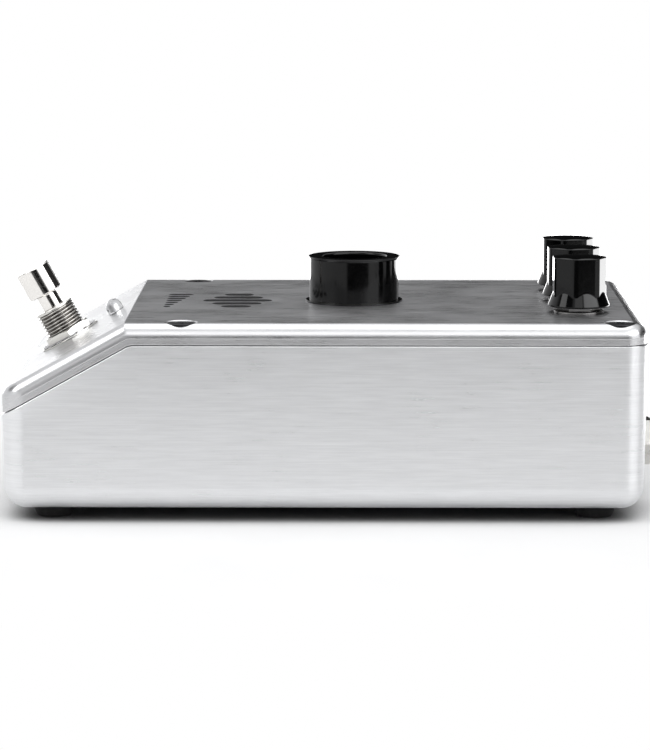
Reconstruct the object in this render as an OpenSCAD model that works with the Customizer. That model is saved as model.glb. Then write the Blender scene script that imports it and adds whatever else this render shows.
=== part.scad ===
// Sound-tube effects pedal: a sloped-front metal case holding a compression driver under a tube
// collar, with three rotary controls, a stomp switch on the ramp, an indicator lamp and rear jacks.
// Millimetres. +X runs from the ramp to the rear jacks, +Z is up, Z = 0 is the floor under the feet.

/* [Case] */
// Length of the case from the front face to the rear face
case_l = 188; // [184:1:194]
// Width of the case
case_w = 116; // [113:1:120]
// Height of the case without its feet
case_h = 54.8; // [54:0.2:58]
// Thickness of the case walls and of the lid plate
wall = 2.5; // [2.2:0.1:2.8]
// Radius of the upright corners
corner_r = 6.5; // [6:0.5:8]
// Radius of the rolled edge round the lid
roll_r = 4; // [3.5:0.5:4.5]
// Radius of the bottom edges of the tub
floor_r = 7; // [5:0.5:8]
// Angle of the front ramp below the horizontal
slope_deg = 29; // [28:0.5:30]
// Distance from the front face to the crease between ramp and flat top
crease_x = 36.1; // [35.7:0.1:36.7]
// Height of the upright skirt under the lid's rolled edge
skirt_h = 2.1; // [2.1:0.2:2.9]
// Gap of the seam between lid and tub
seam_gap = 0.2; // [0.1:0.05:0.3]

/* [Feet and cover screws] */
// Height of the rubber feet
foot_h = 3.5; // [3:0.1:5]
// Diameter of a foot at the case
foot_d = 13; // [12:0.5:14]
// Distance of the feet from the middle of the case, along its length
foot_x = 79.6; // [76:0.2:80]
// Distance of the feet from the middle of the case, across it
foot_y = 43.5; // [42:0.5:44]
// Distance of the cover screws from the side faces
screw_in = 5.8; // [5.6:0.1:6.2]
// Distance of the front pair of cover screws from the front face
screw_front = 52.6; // [52:0.2:54]
// Distance of the rear pair of cover screws from the rear face
screw_rear = 8.2; // [8:0.1:9]

/* [Tube collar] */
// Distance of the collar's axis from the front face
collar_x = 102.7; // [102:0.1:103.4]
// Height of the collar above the lid
collar_h = 13.8; // [13:0.2:15]
// Outer diameter of the collar
collar_d = 27.2; // [26.8:0.1:27.6]
// Radius of the socket that takes the sound tube
socket_r = 9.7; // [9.6:0.05:9.8]

/* [Controls] */
// Distance of the three controls from the rear face
knob_rear = 18.6; // [18:0.1:19]
// Distance between neighbouring controls
knob_pitch = 27.7; // [26.5:0.1:28]
// Height of a knob
knob_h = 15.1; // [14.5:0.2:15.3]
// Diameter of a knob's grip
knob_d = 16.2; // [16:0.1:16.6]
// Diameter of a knob's skirt
knob_skirt_d = 18.3; // [18:0.1:18.6]
// Gap between the lid and a knob's skirt
knob_gap = 1.9; // [1.9:0.1:2.3]
// Number of flat faces round a knob
knob_faces = 7; // [6:1:8]

/* [Stomp switch] */
// Distance down the ramp from the crease to the switch's axis
switch_s = 23.1; // [22.6:0.1:23.4]
// Length of the threaded bushing above its nut
bushing_out = 7.6; // [7:0.2:8]
// Diameter of the stomp cap
cap_d = 10.7; // [10:0.1:11]
// Height of the stomp cap
cap_h = 8.8; // [8.4:0.1:9.2]
// Length of the stem that shows under the cap
stem_out = 4.7; // [4.2:0.1:5]
// Distance down the ramp from the crease to the indicator lamp
lamp_s = 6.9; // [6.6:0.1:7.2]

/* [Rear jacks] */
// Height of the jacks' axes above the case bottom
jack_z = 16.6; // [16.2:0.2:17]
// Distance of the two instrument jacks from the centre line
jack_y = 30; // [28:0.5:32]
// How far the jack bushings stand out of the rear face
jack_out = 4.2; // [4:0.1:4.6]
// Radius of a jack's bore
jack_bore_r = 3.25; // [3.22:0.01:3.3]

/* [Hidden] */
$fn = 48;

fit = 0.02;                      // gap that keeps neighbouring pieces apart
roof_z = foot_h + case_h;
ceiling_z = roof_z - wall;
floor_z = foot_h + wall;
front_x = -case_l / 2;
rear_x = case_l / 2;
crease_at = front_x + crease_x;
seam_drop = roll_r + skirt_h;    // roof surface down to the middle of the seam
seam_z = roof_z - seam_drop;
collar_at = front_x + collar_x;
knob_x = rear_x - knob_rear;
jack_axis_z = foot_h + jack_z;
screw_xs = [front_x + screw_front, rear_x - screw_rear];
screw_y = case_w / 2 - screw_in;

board_z = floor_z + 3;           // underside of the amplifier board
board_t = 1.6;
board_top = board_z + board_t;
board_hole_r = 1.6;
standoff_r = 3;

// Directions in the XZ plane, up along the ramp and square out of it
up_ramp = [cos(slope_deg), sin(slope_deg)];
out_of_ramp = [-sin(slope_deg), cos(slope_deg)];

// Colours shared by several pieces
board_green = [0.05, 0.3, 0.14];
plate_grey = [0.55, 0.55, 0.56];
screw_steel = [0.65, 0.65, 0.66];
pot_steel = [0.72, 0.72, 0.73];
jack_steel = [0.75, 0.75, 0.76];
switch_steel = [0.75, 0.74, 0.7];
tab_tin = [0.82, 0.8, 0.7];

// ---- places ----
// Pieces are drawn about the middle of the case, then moved so that the origin is under the
// middle of the whole object, jack bushings included.
module placed() { translate([-jack_out / 2, 0, 0]) children(); }
module at_screws() { for (x = screw_xs, y = [-screw_y, screw_y]) translate([x, y, 0]) children(); }
module at_feet() { for (x = [-foot_x, foot_x], y = [-foot_y, foot_y]) translate([x, y, 0]) children(); }
module at_board_holes() { for (x = [-54, 50], y = [-40, 40]) translate([x, y, 0]) children(); }
// Jack frames: origin on the rear face, Z out of it
module at_rear(y) { translate([rear_x, y, jack_axis_z]) rotate([0, 90, 0]) children(); }
module at_jacks() { for (y = [-jack_y, jack_y]) at_rear(y) children(); }
// Ramp frames: origin on the ramp, Z out of it, X up the ramp
function on_ramp(distance) = [crease_at, roof_z] - distance * up_ramp;
module at_ramp(distance) {
    place = on_ramp(distance);
    translate([place[0], 0, place[1]]) rotate([0, -slope_deg, 0]) children();
}
module at_switch() { at_ramp(switch_s) children(); }
module at_lamp() { at_ramp(lamp_s) children(); }
// Control frames: origin on the lid; 0 volume, 1 gain, 2 tone
module at_knob(n) { translate([knob_x, (n - 1) * knob_pitch, roof_z]) children(); }
module at_knobs() { for (n = [0:2]) at_knob(n) children(); }

// ---- basic shapes ----
// Upright cylinder with its bottom at z
module rod(r, z, h) { translate([0, 0, z]) cylinder(r = r, h = h); }
// Block centred in X and Y with its bottom at z
module block(size, z) { translate([-size[0] / 2, -size[1] / 2, z]) cube(size); }
module ring(outer_r, inner_r, h) {
    difference() {
        cylinder(r = outer_r, h = h);
        rod(inner_r, -1, h + 2);
    }
}
module hex_nut(across_flats, inner_r, h) {
    difference() {
        cylinder(r = across_flats / 2 / cos(30), h = h, $fn = 6);
        rod(inner_r, -1, h + 2);
    }
}
module cross_slot(length, width, depth, z) {
    for (a = [0, 90]) rotate([0, 0, a]) block([length, width, depth], z);
}

// Points of an arc in n steps
function arc(centre, r, from, to, n = 6) =
    [for (i = [0:n]) let(a = from + (to - from) * i / n) centre + r * [cos(a), sin(a)]];

// Faces of a tube whose points run ring after ring, and the same faces turned inside out
function tube_faces(steps, sides) = concat(
    [[for (k = [sides - 1:-1:0]) k]],
    [for (i = [0:steps - 1], k = [0:sides - 1]) let(a = i * sides, b = a + sides, next = (k + 1) % sides)
        [a + k, a + next, b + next, b + k]],
    [[for (k = [0:sides - 1]) steps * sides + k]]);
function flipped(faces) =
    [for (face = faces) let(n = len(face)) [for (j = [0:n - 1]) face[(n - j) % n]]];

// Round wire in an upright plane at y, along a Bezier curve from p0 to p3 steered by p1 and p2;
// points are [x, z]
module wire(y, p0, p1, p2, p3, r) {
    steps = 12;
    sides = 8;
    centres = [for (i = [0:steps]) let(t = i / steps, u = 1 - t)
        u * u * u * p0 + 3 * u * u * t * p1 + 3 * u * t * t * p2 + t * t * t * p3];
    directions = [for (i = [0:steps])
        let(t = i / steps, u = 1 - t,
            v = u * u * (p1 - p0) + 2 * u * t * (p2 - p1) + t * t * (p3 - p2))
        v / norm(v)];
    points = [for (i = [0:steps], k = [0:sides - 1])
        let(b = 360 * k / sides, c = centres[i], d = directions[i])
        [c[0] - r * cos(b) * d[1], y + r * sin(b), c[1] + r * cos(b) * d[0]]];
    polyhedron(points = points, faces = tube_faces(steps, sides), convexity = 4);
}

// ---- case shapes ----
// Roof crease moved inwards, as [x, z]
function crease(inset) = [crease_at + inset * tan(slope_deg / 2), roof_z - inset];
// Side outline between the roof line lowered by drop and the height end_z
function seam(drop, end_z) =
    let(over = 20, bend_r = 5, corner = crease(drop))
    concat(
        [[rear_x + over, end_z], [rear_x + over, corner[1]]],
        arc(corner + bend_r * [tan(slope_deg / 2), -1], bend_r, 90, 90 + slope_deg, 5),
        [[front_x - over, corner[1] + (front_x - over - corner[0]) * tan(slope_deg)],
            [front_x - over, end_z]]);
// Side outline in [x, z] stretched across the whole case
module side(points) {
    rotate([90, 0, 0]) linear_extrude(height = 160, center = true) polygon(points);
}

// Rectangle with rounded corners, drawn from exact circles
module rounded(w, h, r) {
    square([w - 2 * r, h], center = true);
    square([w, h - 2 * r], center = true);
    for (x = [-1, 1], y = [-1, 1]) translate([x * (w / 2 - r), y * (h / 2 - r)]) circle(r = r);
}
module plan(inset) {
    linear_extrude(height = 90)
        rounded(case_l - 2 * inset, case_w - 2 * inset, max(corner_r - inset, 2));
}

// Disc with a full round edge of radius edge_r on a core of radius core_r
module rounded_disc(edge_r, core_r) {
    rotate_extrude($fn = 32) intersection() {
        translate([core_r, 0]) circle(r = edge_r, $fn = 32);
        translate([0, -edge_r]) square([edge_r + core_r, 2 * edge_r]);
    }
}
// Space under the roof, moved inwards: rolled edges round the flat top and the ramp
module under_roof(inset, low_z) {
    edge_r = max(roll_r - inset, 0.8);
    core_r = max(corner_r - inset - edge_r, 0.5);
    reach = inset + edge_r + core_r;
    corner = crease(inset);
    ramp_x = front_x + reach;
    ramp_z = corner[1]
        + (sin(slope_deg) * (ramp_x - corner[0] - core_r) - edge_r) / cos(slope_deg);
    hull() {
        for (s = [-1, 1]) {
            for (end = [[rear_x - reach, roof_z - inset - edge_r], [ramp_x, ramp_z]])
                translate([end[0], s * (case_w / 2 - reach), 0]) {
                    translate([0, 0, end[1]]) rounded_disc(edge_r, core_r);
                    rod(edge_r + core_r, low_z, 1, $fn = 32);
                }
            translate([corner[0] + edge_r * tan(slope_deg / 2),
                    s * (case_w / 2 - inset - edge_r), roof_z - inset - edge_r])
                sphere(r = edge_r, $fn = 32);
        }
    }
}

// Space inside the tub, moved inwards, with rounded bottom edges
module tub_space(inset, high_z) {
    r = max(floor_r - inset, 2);
    round_z = foot_h + inset + r;
    notch = r + 8;
    intersection() {
        plan(inset);
        side(concat(
            [[front_x + inset, high_z]],
            arc([front_x + inset + r, round_z], r, 180, 270),
            arc([rear_x - inset - r, round_z], r, 270, 360),
            [[rear_x - inset, high_z]]));
        rotate([90, 0, 90]) linear_extrude(height = 260, center = true) difference() {
            translate([-case_w / 2 - 5, foot_h + inset]) square([case_w + 10, 90]);
            for (s = [-1, 1]) translate([s * (case_w / 2 - inset - r), round_z]) difference() {
                translate([s > 0 ? 0 : -notch, -notch]) square([notch, notch]);
                circle(r = r);
            }
        }
    }
}

// ---- case ----
boss_r = 4.5;
lid_pad_h = 2.4;                 // pads under the lid round the cover screws
neck_r = 12.5;                   // collar neck through the lid
bushing_r = 6;                   // stomp switch bushing
led_r = 2.5;
jack_bushing_r = 4.75;
jack_hole_r = jack_bushing_r + 0.1;
dc_body_r = 5.4;
dc_hole_r = dc_body_r + 0.05;

module base_tub() {
    color([0.80, 0.81, 0.82]) placed() difference() {
        union() {
            intersection() {
                difference() {
                    tub_space(0, 80);
                    tub_space(wall, 85);
                }
                side(seam(seam_drop + seam_gap / 2, -5));
            }
            intersection() {
                union() {
                    at_screws() rod(boss_r, foot_h + 1, seam_z - foot_h - 2);
                    at_feet() rod(boss_r, foot_h + 1, wall + 1);
                }
                tub_space(1, 80);
            }
            // Tops of the screw bosses, reaching up inside the lid
            intersection() {
                at_screws() rod(boss_r, seam_z - 2, ceiling_z - lid_pad_h - fit - (seam_z - 2));
                tub_space(wall + 0.2, 80);
            }
        }
        at_screws() rod(2.05, roof_z - 22, 30);
        at_feet() rod(1.55, foot_h - 1, 12);
        at_jacks() rod(jack_hole_r, -wall - 1, wall + 2);
        at_rear(0) rod(dc_hole_r, -wall - 1, wall + 2);
        at_board_holes() rod(board_hole_r, foot_h - 1, wall + 2);
        at_board_holes() rod(3, foot_h - 1, 2.4);
    }
}

module top_cover() {
    color([0.78, 0.79, 0.80]) placed() difference() {
        union() {
            intersection() {
                difference() {
                    under_roof(0, 10);
                    under_roof(wall, 5);
                }
                side(seam(seam_drop - seam_gap / 2, 90));
            }
            at_screws() rod(4.65, ceiling_z - lid_pad_h, lid_pad_h + 1);
        }
        at_screws() {
            rod(2.15, ceiling_z - 5, 10);
            translate([0, 0, roof_z - 2.6]) cylinder(r1 = 2.1, r2 = 5.7, h = 3.6);
        }
        translate([collar_at, 0, 0]) rod(neck_r + 0.1, ceiling_z - 2, wall + 4);
        at_knobs() rod(3.6, -wall - 2, wall + 4);
        at_switch() rod(bushing_r + 0.15, -wall - 2, wall + 4);
        at_lamp() rod(led_r + 0.1, -wall - 2, wall + 4);
    }
}

module cover_screws() {
    color([0.12, 0.12, 0.13]) placed() at_screws() difference() {
        union() {
            translate([0, 0, roof_z - 2.72]) cylinder(r1 = 1.98, r2 = 4.35, h = 2.44);
            rod(2, roof_z - 20, 17.4);
        }
        cross_slot(3.8, 0.8, 2, roof_z - 2);
    }
}

module rubber_feet() {
    color([0.07, 0.07, 0.07]) placed() at_feet() difference() {
        cylinder(r1 = foot_d / 2 - 1.25, r2 = foot_d / 2, h = foot_h);
        rod(3.4, -1, 2.6);
        rod(1.7, -1, 9);
    }
}
module foot_screws() {
    color([0.6, 0.6, 0.62]) placed() at_feet() difference() {
        union() {
            rod(2.9, 0.5, 1.05);
            rod(1.5, 1.5, foot_h + 2.6);
        }
        cross_slot(3.2, 0.7, 1.2, 0);
    }
}

// ---- tube collar and compression driver ----
neck_z = ceiling_z - 8;          // lower end of the collar's neck
neck_seat_r = neck_r + 0.06;     // bore of the pieces that fit round the neck
magnet_h = 12;
rear_plate_h = 5;
front_plate_z = neck_z - 7;
magnet_z = front_plate_z - fit - magnet_h;
rear_plate_z = magnet_z - fit - rear_plate_h;
rear_cap_z = neck_z - 33.2;
terminal_z = neck_z - 31;
terminal_y = 4;
terminal_t = 0.8;

module at_collar(z) { translate([collar_at, 0, z]) children(); }
module at_cap_screws() { for (a = [30:120:270]) rotate([0, 0, a]) translate([25, 0, 0]) children(); }

module tube_collar() {
    collar_r = collar_d / 2;
    rim_r = collar_r + 0.3;
    end_z = roof_z + collar_h;
    color([0.06, 0.06, 0.065]) placed() at_collar(0) difference() {
        union() {
            rod(14.8, roof_z + fit, 0.5);
            rod(collar_r, roof_z + fit, collar_h - fit);
            translate([0, 0, end_z - 0.7]) cylinder(r1 = collar_r - 0.01, r2 = rim_r, h = 0.4);
            rod(rim_r, end_z - 0.3, 0.3);
            rod(neck_r, neck_z, roof_z - neck_z + 1);
        }
        rod(socket_r, neck_z - 1, 60);
        translate([0, 0, end_z - 0.6]) cylinder(r1 = socket_r, r2 = socket_r + 0.8, h = 0.61);
    }
}
module collar_locknut() {
    color([0.45, 0.45, 0.47]) placed() at_collar(ceiling_z - 3.5) hex_nut(33, neck_seat_r, 3.45);
}
module driver_gasket() {
    color([0.1, 0.1, 0.1]) placed() at_collar(neck_z - 1.2) ring(12.3, 9.9, 1.16);
}
// Front plate with a cup for the collar's neck and a hollow pole, the throat of the driver
module driver_pole_piece() {
    color(plate_grey) placed() at_collar(0) difference() {
        union() {
            rod(29, front_plate_z, 5.5);
            rod(16, neck_z - 3, 5.4);
            rod(12.6, neck_z - 23, 17);
        }
        rod(neck_seat_r, neck_z - 1.24, 6);
        rod(8.5, neck_z - 13, 20);
        translate([0, 0, neck_z - 24]) cylinder(r1 = 6.4, r2 = 8.5, h = 11.2);
    }
}
module driver_magnet() {
    color([0.16, 0.16, 0.17]) placed() at_collar(magnet_z) ring(30, 17, magnet_h);
}
module driver_rear_plate() {
    color(plate_grey) placed() at_collar(rear_plate_z) difference() {
        ring(28.5, 13.6, rear_plate_h);
        at_cap_screws() rod(1.3, -1, 5);
    }
}
module driver_voice_coil() {
    color([0.72, 0.42, 0.2]) placed() at_collar(neck_z - 27.2) ring(13.3, 12.9, 8);
}
// Thin domed diaphragm with its flat surround
module driver_diaphragm() {
    dome_centre = [0, -18];
    color([0.75, 0.7, 0.55]) placed() at_collar(neck_z - 27.6) rotate_extrude() polygon(concat(
        [[22, 0], [22, 0.3], [13.6, 0.3]],
        arc(dome_centre, 22.2, 54, 90),
        arc(dome_centre, 21.9, 90, 53.5)));
}
module driver_rear_cap() {
    color([0.2, 0.2, 0.21]) placed() at_collar(rear_cap_z) difference() {
        cylinder(r = 28.5, h = 9.1);
        rod(22.5, 2.4, 10);
        at_cap_screws() rod(1.5, -1, 12);
    }
}
module driver_cap_screws() {
    color(screw_steel) placed() at_collar(rear_cap_z) at_cap_screws() {
        rod(2.4, -1.5, 1.48);
        rod(1.25, -1, 13);
    }
}
module driver_terminals() {
    color([0.8, 0.65, 0.3]) placed() for (s = [-1, 1])
        translate([collar_at - 35.42, s * terminal_y - 1.4, terminal_z]) cube([7, 2.8, terminal_t]);
}
module driver_wires() {
    r = 0.8;
    start_z = terminal_z + terminal_t + 0.05 + r;
    end_x = collar_at - 44;
    color([0.65, 0.08, 0.06]) placed() for (s = [-1, 1])
        wire(s * terminal_y, [collar_at - 33, start_z], [collar_at - 40, start_z],
            [end_x, board_z + 10], [end_x, board_top + 0.05], r);
}

// ---- amplifier board on the floor ----
heatsink_at = [-44, -38];
heatsink_size = [3, 30, 17];     // back plate
// x, y, radius, height
capacitors = [[-46, 12, 5, 16], [-46, 26, 5, 16], [-34, 32, 4, 11], [30, -38, 4, 11], [42, -30, 5, 14]];

module amp_board() {
    color(board_green) placed() difference() {
        translate([-60, -46, board_z]) cube([116, 92, board_t]);
        at_board_holes() rod(board_hole_r, board_z - 1, 4);
    }
}
module board_standoffs() {
    color([0.75, 0.72, 0.55]) placed() at_board_holes() translate([0, 0, floor_z + fit])
        ring(standoff_r, board_hole_r, board_z - floor_z - 2 * fit);
}
module board_screws() {
    color(screw_steel) placed() at_board_holes() {
        rod(2.7, foot_h + 0.1, 1.28);
        rod(1.5, foot_h + 0.5, 9.6);
        translate([0, 0, board_top + 0.05]) hex_nut(5.5, 1.4, 2.2);
    }
}
module amp_heatsink() {
    fins = 6;
    fin = [8.5, 2, heatsink_size[2]];
    fin_pitch = (heatsink_size[1] - fin[1]) / (fins - 1);
    color([0.25, 0.25, 0.27]) placed()
        translate([heatsink_at[0], heatsink_at[1], board_top + fit]) {
            cube(heatsink_size);
            for (i = [0:fins - 1]) translate([-8, i * fin_pitch, 0]) cube(fin);
        }
}
module amp_chip() {
    lead_pitch = 2.4;
    chip_x = heatsink_at[0] + heatsink_size[0] + fit;
    color([0.08, 0.08, 0.08]) placed() {
        translate([chip_x, -30, board_z + 5]) cube([4.4, 15, 10]);
        for (i = [0:4])
            translate([-39.2, -27.2 + i * lead_pitch, board_top + fit]) cube([0.6, 0.9, 3.6]);
    }
}
// Cans with a groove round the foot
module amp_capacitors() {
    color([0.1, 0.13, 0.3]) placed() for (can = capacitors)
        translate([can[0], can[1], board_top + fit]) difference() {
            cylinder(r = can[2], h = can[3]);
            translate([0, 0, 2.2]) ring(can[2] + 1, can[2] - 0.4, 0.8);
        }
}

// ---- rotary controls ----
// Heights here are measured from the lid's outer face
pot_z = -wall - fit;             // top of a pot's can
shaft_r = 3;
pot_washer_h = 0.6;
set_screw_z = 7.6;               // above the knob's underside
set_screw_r = 1.5;

module control_board() {
    margin = 11;                 // beyond the outer controls
    color(board_green) placed() difference() {
        translate([knob_x - 16, -knob_pitch - margin, ceiling_z - 13.6])
            cube([27, 2 * (knob_pitch + margin), board_t]);
        translate([knob_x - 12, -knob_pitch - 4.9, 0]) rod(1.2, roof_z - 30, 30);
    }
}
module potentiometers() {
    color([0.6, 0.61, 0.62]) placed() at_knobs() difference() {
        union() {
            rod(8.25, pot_z - 9, 9);
            rod(3.5, pot_z - 1, wall + 6.2);
        }
        rod(shaft_r + 0.06, pot_z - 7, 20);
        rod(4.6, pot_z - 7.4, 1.6);
    }
}
// Bent pins: a flat leg out of the can and an upright one through the board
module pot_pins() {
    pin_w = 1;
    color([0.82, 0.72, 0.4]) placed() for (k = [-1:1]) at_knobs()
        translate([-13.5, k * 5 - pin_w / 2, 0]) {
            translate([0, 0, pot_z - 6.4]) cube([5.2, pin_w, 0.6]);
            translate([0, 0, pot_z - 11.05]) cube([0.6, pin_w, 5.2]);
        }
}
module pot_washers() {
    color(pot_steel) placed() at_knobs() translate([0, 0, fit]) ring(7.25, 3.6, pot_washer_h);
}
module pot_nuts() {
    color(pot_steel) placed() at_knobs()
        translate([0, 0, pot_washer_h + 2 * fit]) hex_nut(11, 3.54, 2.1);
}
// Ribbon from the control board down to the amplifier board, bent at both ends
module control_ribbon() {
    thick = 0.8;
    upper = [knob_x - 21, 38];
    upper_r = 5;
    lower = [44, board_z + 6.4];
    lower_r = 4.4;
    end_x = lower[0] - lower_r;
    end_z = board_top + 0.06;
    color([0.55, 0.56, 0.58]) placed()
        translate([0, 30, 0]) rotate([90, 0, 0]) linear_extrude(height = 16) polygon(concat(
            arc(upper, upper_r, 80, 180),
            arc(lower, lower_r, 90, 180, 5),
            [[end_x, end_z], [end_x + thick, end_z]],
            arc(lower, lower_r - thick, 180, 90, 5),
            arc(upper, upper_r - thick, 180, 80)));
}

// Knob: a faceted grip over a flared skirt, hollow below over its nut
module knob_body() {
    grip_r = knob_d / 2;
    flat_r = grip_r - 0.52;
    skirt_r = knob_skirt_d / 2;
    half_face = 180 / knob_faces;
    difference() {
        union() {
            intersection() {
                rotate_extrude() polygon([
                    [0, 0], [grip_r, 0], [grip_r, knob_h - 0.74], [grip_r - 0.24, knob_h - 0.5],
                    [6, knob_h - 0.24], [3, knob_h - 0.06], [0, knob_h]]);
                rotate([0, 0, -24.8 + half_face])
                    cylinder(r = flat_r / cos(half_face), h = knob_h + 1, $fn = knob_faces);
            }
            cylinder(r = skirt_r, h = 0.5);
            translate([0, 0, 0.49]) cylinder(r1 = skirt_r, r2 = flat_r - 0.2, h = 4.3);
        }
        rod(6.6, -1, 4.5);
        rod(shaft_r + 0.01, -1, knob_h - 1);
        translate([0, 0, set_screw_z]) rotate([0, 90, 0]) cylinder(r = set_screw_r + 0.1, h = 12);
    }
}
module one_knob(n) {
    color([0.03, 0.03, 0.035]) placed() at_knob(n) translate([0, 0, knob_gap]) knob_body();
}
module one_shaft(n) {
    color([0.8, 0.8, 0.8]) placed() at_knob(n) {
        rod(shaft_r, pot_z - 6.5, 6.5 - pot_z + knob_gap + knob_h - 2.6);
        rod(4.4, pot_z - 7.3, 1.45);
    }
}
module one_set_screw(n) {
    color([0.2, 0.2, 0.2]) placed() at_knob(n)
        translate([0, 0, knob_gap + set_screw_z]) rotate([0, 90, 0]) difference() {
            rod(set_screw_r, shaft_r + fit, 3);
            rod(0.75, 4.8, 3, $fn = 6);
        }
}

// ---- stomp switch ----
// Heights here are measured square out of the ramp
flat_washer_h = 0.43;
lock_washer_h = 0.38;
lock_washer_z = flat_washer_h + 2 * fit;
switch_nut_z = lock_washer_z + lock_washer_h + fit;
switch_nut_top = 2.9;
bushing_top = switch_nut_top + bushing_out;
inner_nut_h = 2.08;
stem_r = 3.2;
switch_bottom = -17.7;
switch_pins = [4.8, 5.3];        // terminal pitch in x and y
switch_pin = [0.8, 2, 3.88];
switch_pin_z = switch_bottom - fit - switch_pin[2];

module footswitch_body() {
    color([0.15, 0.16, 0.2]) placed() at_switch() difference() {
        union() {
            block([17, 17.5, 13], switch_bottom);
            rod(bushing_r, -5, 5 + bushing_top);
        }
        rod(stem_r + 0.06, -8, 30);
        rod(4.8, -14.4, 8.8);
    }
}
module footswitch_inner_nut() {
    color(switch_steel) placed() at_switch()
        translate([0, 0, -wall - fit - inner_nut_h]) hex_nut(14, bushing_r + 0.05, inner_nut_h);
}
module footswitch_flat_washer() {
    color(switch_steel) placed() at_switch()
        translate([0, 0, fit]) ring(9.5, bushing_r + 0.2, flat_washer_h);
}
// Washer with round notches in its rim
module footswitch_lock_washer() {
    color([0.7, 0.69, 0.66]) placed() at_switch() translate([0, 0, lock_washer_z]) difference() {
        ring(9.1, bushing_r + 0.2, lock_washer_h);
        for (a = [0:24:359]) rotate([0, 0, a]) translate([9.3, 0, 0]) rod(0.9, -1, 3);
    }
}
module footswitch_nut() {
    color([0.78, 0.76, 0.72]) placed() at_switch() translate([0, 0, switch_nut_z])
        rotate([0, 0, 38]) hex_nut(14, bushing_r + 0.05, switch_nut_top - switch_nut_z);
}
// Coil spring under the plunger
module footswitch_spring() {
    turns = 4;
    turn_steps = 18;
    sides = 8;
    wire_r = 0.4;
    coil_r = 3.4;
    rise = 5.1;
    steps = turns * turn_steps;
    points = [for (i = [0:steps], k = [0:sides - 1])
        let(a = 360 * i / turn_steps, b = 360 * k / sides, q = coil_r + wire_r * cos(b))
        [q * cos(a), q * sin(a), rise * i / steps + wire_r * sin(b)]];
    color([0.7, 0.7, 0.7]) placed() at_switch() translate([0, 0, -13.9])
        polyhedron(points = points, faces = flipped(tube_faces(steps, sides)), convexity = 8);
}
module footswitch_terminals() {
    color(tab_tin) placed() at_switch() for (i = [-1:1], j = [-1:1])
        translate([i * switch_pins[0], j * switch_pins[1], 0]) block(switch_pin, switch_pin_z);
}
// One wire from each terminal of the row nearest the crease
module footswitch_wires() {
    start = on_ramp(switch_s) + switch_pins[0] * up_ramp + (switch_pin_z - 0.05) * out_of_ramp;
    end_x = -56;
    color([0.1, 0.25, 0.6]) placed() for (j = [-1:1])
        wire(j * switch_pins[1], start, start - 7 * out_of_ramp,
            [end_x, board_z + 11], [end_x, board_top + 0.05], 0.7);
}
module footswitch_plunger() {
    cap_r = cap_d / 2;
    cap_z = bushing_top + stem_out;
    color([0.85, 0.83, 0.78]) placed() at_switch() {
        translate([0, 0, cap_z]) rotate_extrude() polygon([
            [0, 0], [cap_r - 0.15, 0], [cap_r, 0.15],
            [cap_r, cap_h - 0.3], [cap_r - 0.3, cap_h], [0, cap_h]]);
        rod(stem_r, -7, 7 + cap_z + 0.5);
        rod(4.4, -7.9, 2.2);
    }
}

// ---- indicator lamp ----
led_z = -5.3;                    // underside of the lamp's flange
led_lead_y = 1.27;

module indicator_led() {
    dome_z = 1.5;
    color([0.9, 0.92, 0.93, 0.5]) placed() at_lamp() {
        rod(led_r, led_z, dome_z - led_z);
        translate([0, 0, dome_z]) sphere(r = led_r);
        rod(2.9, led_z, 1);
        for (s = [-1, 1]) translate([0, s * led_lead_y, 0]) rod(0.25, -9.4, 4.6, $fn = 16);
    }
}
module led_holder() {
    color([0.05, 0.05, 0.05]) placed() at_lamp()
        translate([0, 0, -4.26]) ring(4, led_r + 0.06, 4.24 - wall);
}
module led_board() {
    color(board_green) placed() at_lamp() difference() {
        block([9, 10, 1.2], -8.6);
        for (s = [-1, 1]) translate([0, s * led_lead_y, 0]) rod(0.4, -9, 3);
    }
}

// ---- rear jacks ----
jack_body = [14.8, 18, 26.48];
jack_washer_h = 0.7;
dc_nut_h = 2.58;

module instrument_jacks() {
    color([0.09, 0.09, 0.1]) placed() at_jacks() difference() {
        union() {
            block(jack_body, -wall - fit - jack_body[2]);
            rod(jack_bushing_r, -wall - 1, wall + 1 + jack_out);
        }
        rod(jack_bore_r, jack_out - 32, 40);
    }
}
module jack_washers() {
    color(jack_steel) placed() at_jacks() translate([0, 0, fit]) ring(7.2, jack_hole_r, jack_washer_h);
}
module jack_nuts() {
    color(jack_steel) placed() at_jacks() translate([0, 0, jack_washer_h + 2 * fit])
        rotate([0, 0, 30]) hex_nut(13.2, jack_bushing_r + 0.05, 2.3);
}
// Three pairs of tabs under each instrument jack
module jack_tabs() {
    tab_w = 1.4;
    color(tab_tin) placed() for (y = [-jack_y, jack_y], i = [0:2], s = [-1, 1])
        translate([rear_x - wall - 6 - 7.6 * i, y + s * 6 - tab_w / 2, jack_axis_z - 10.4])
            cube([0.6, tab_w, 2.98]);
}
module dc_jack() {
    color([0.07, 0.07, 0.075]) placed() at_rear(0) difference() {
        union() {
            rod(7, fit, 1.8);
            rod(dc_body_r, -wall - 9, wall + 9.5);
            rod(4.6, -wall - 13, 5);
        }
        rod(2.8, -8.2, 12);
        rod(1.53, -12, 8);
    }
}
module dc_jack_pin() {
    color([0.85, 0.8, 0.6]) placed() at_rear(0) {
        rod(1.5, -11.9, 3.72);
        rod(1.05, -9.5, 10.32);
    }
}
module dc_jack_nut() {
    color(jack_steel) placed() at_rear(0)
        translate([0, 0, -wall - fit - dc_nut_h]) hex_nut(14, dc_hole_r, dc_nut_h);
}
module jack_board() {
    color(board_green) placed() difference() {
        translate([62, -44, jack_axis_z - 12]) cube([27, 88, board_t]);
        for (y = [-12, 12]) translate([65, y, 0]) rod(1.6, 0, 40);
    }
}

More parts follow.
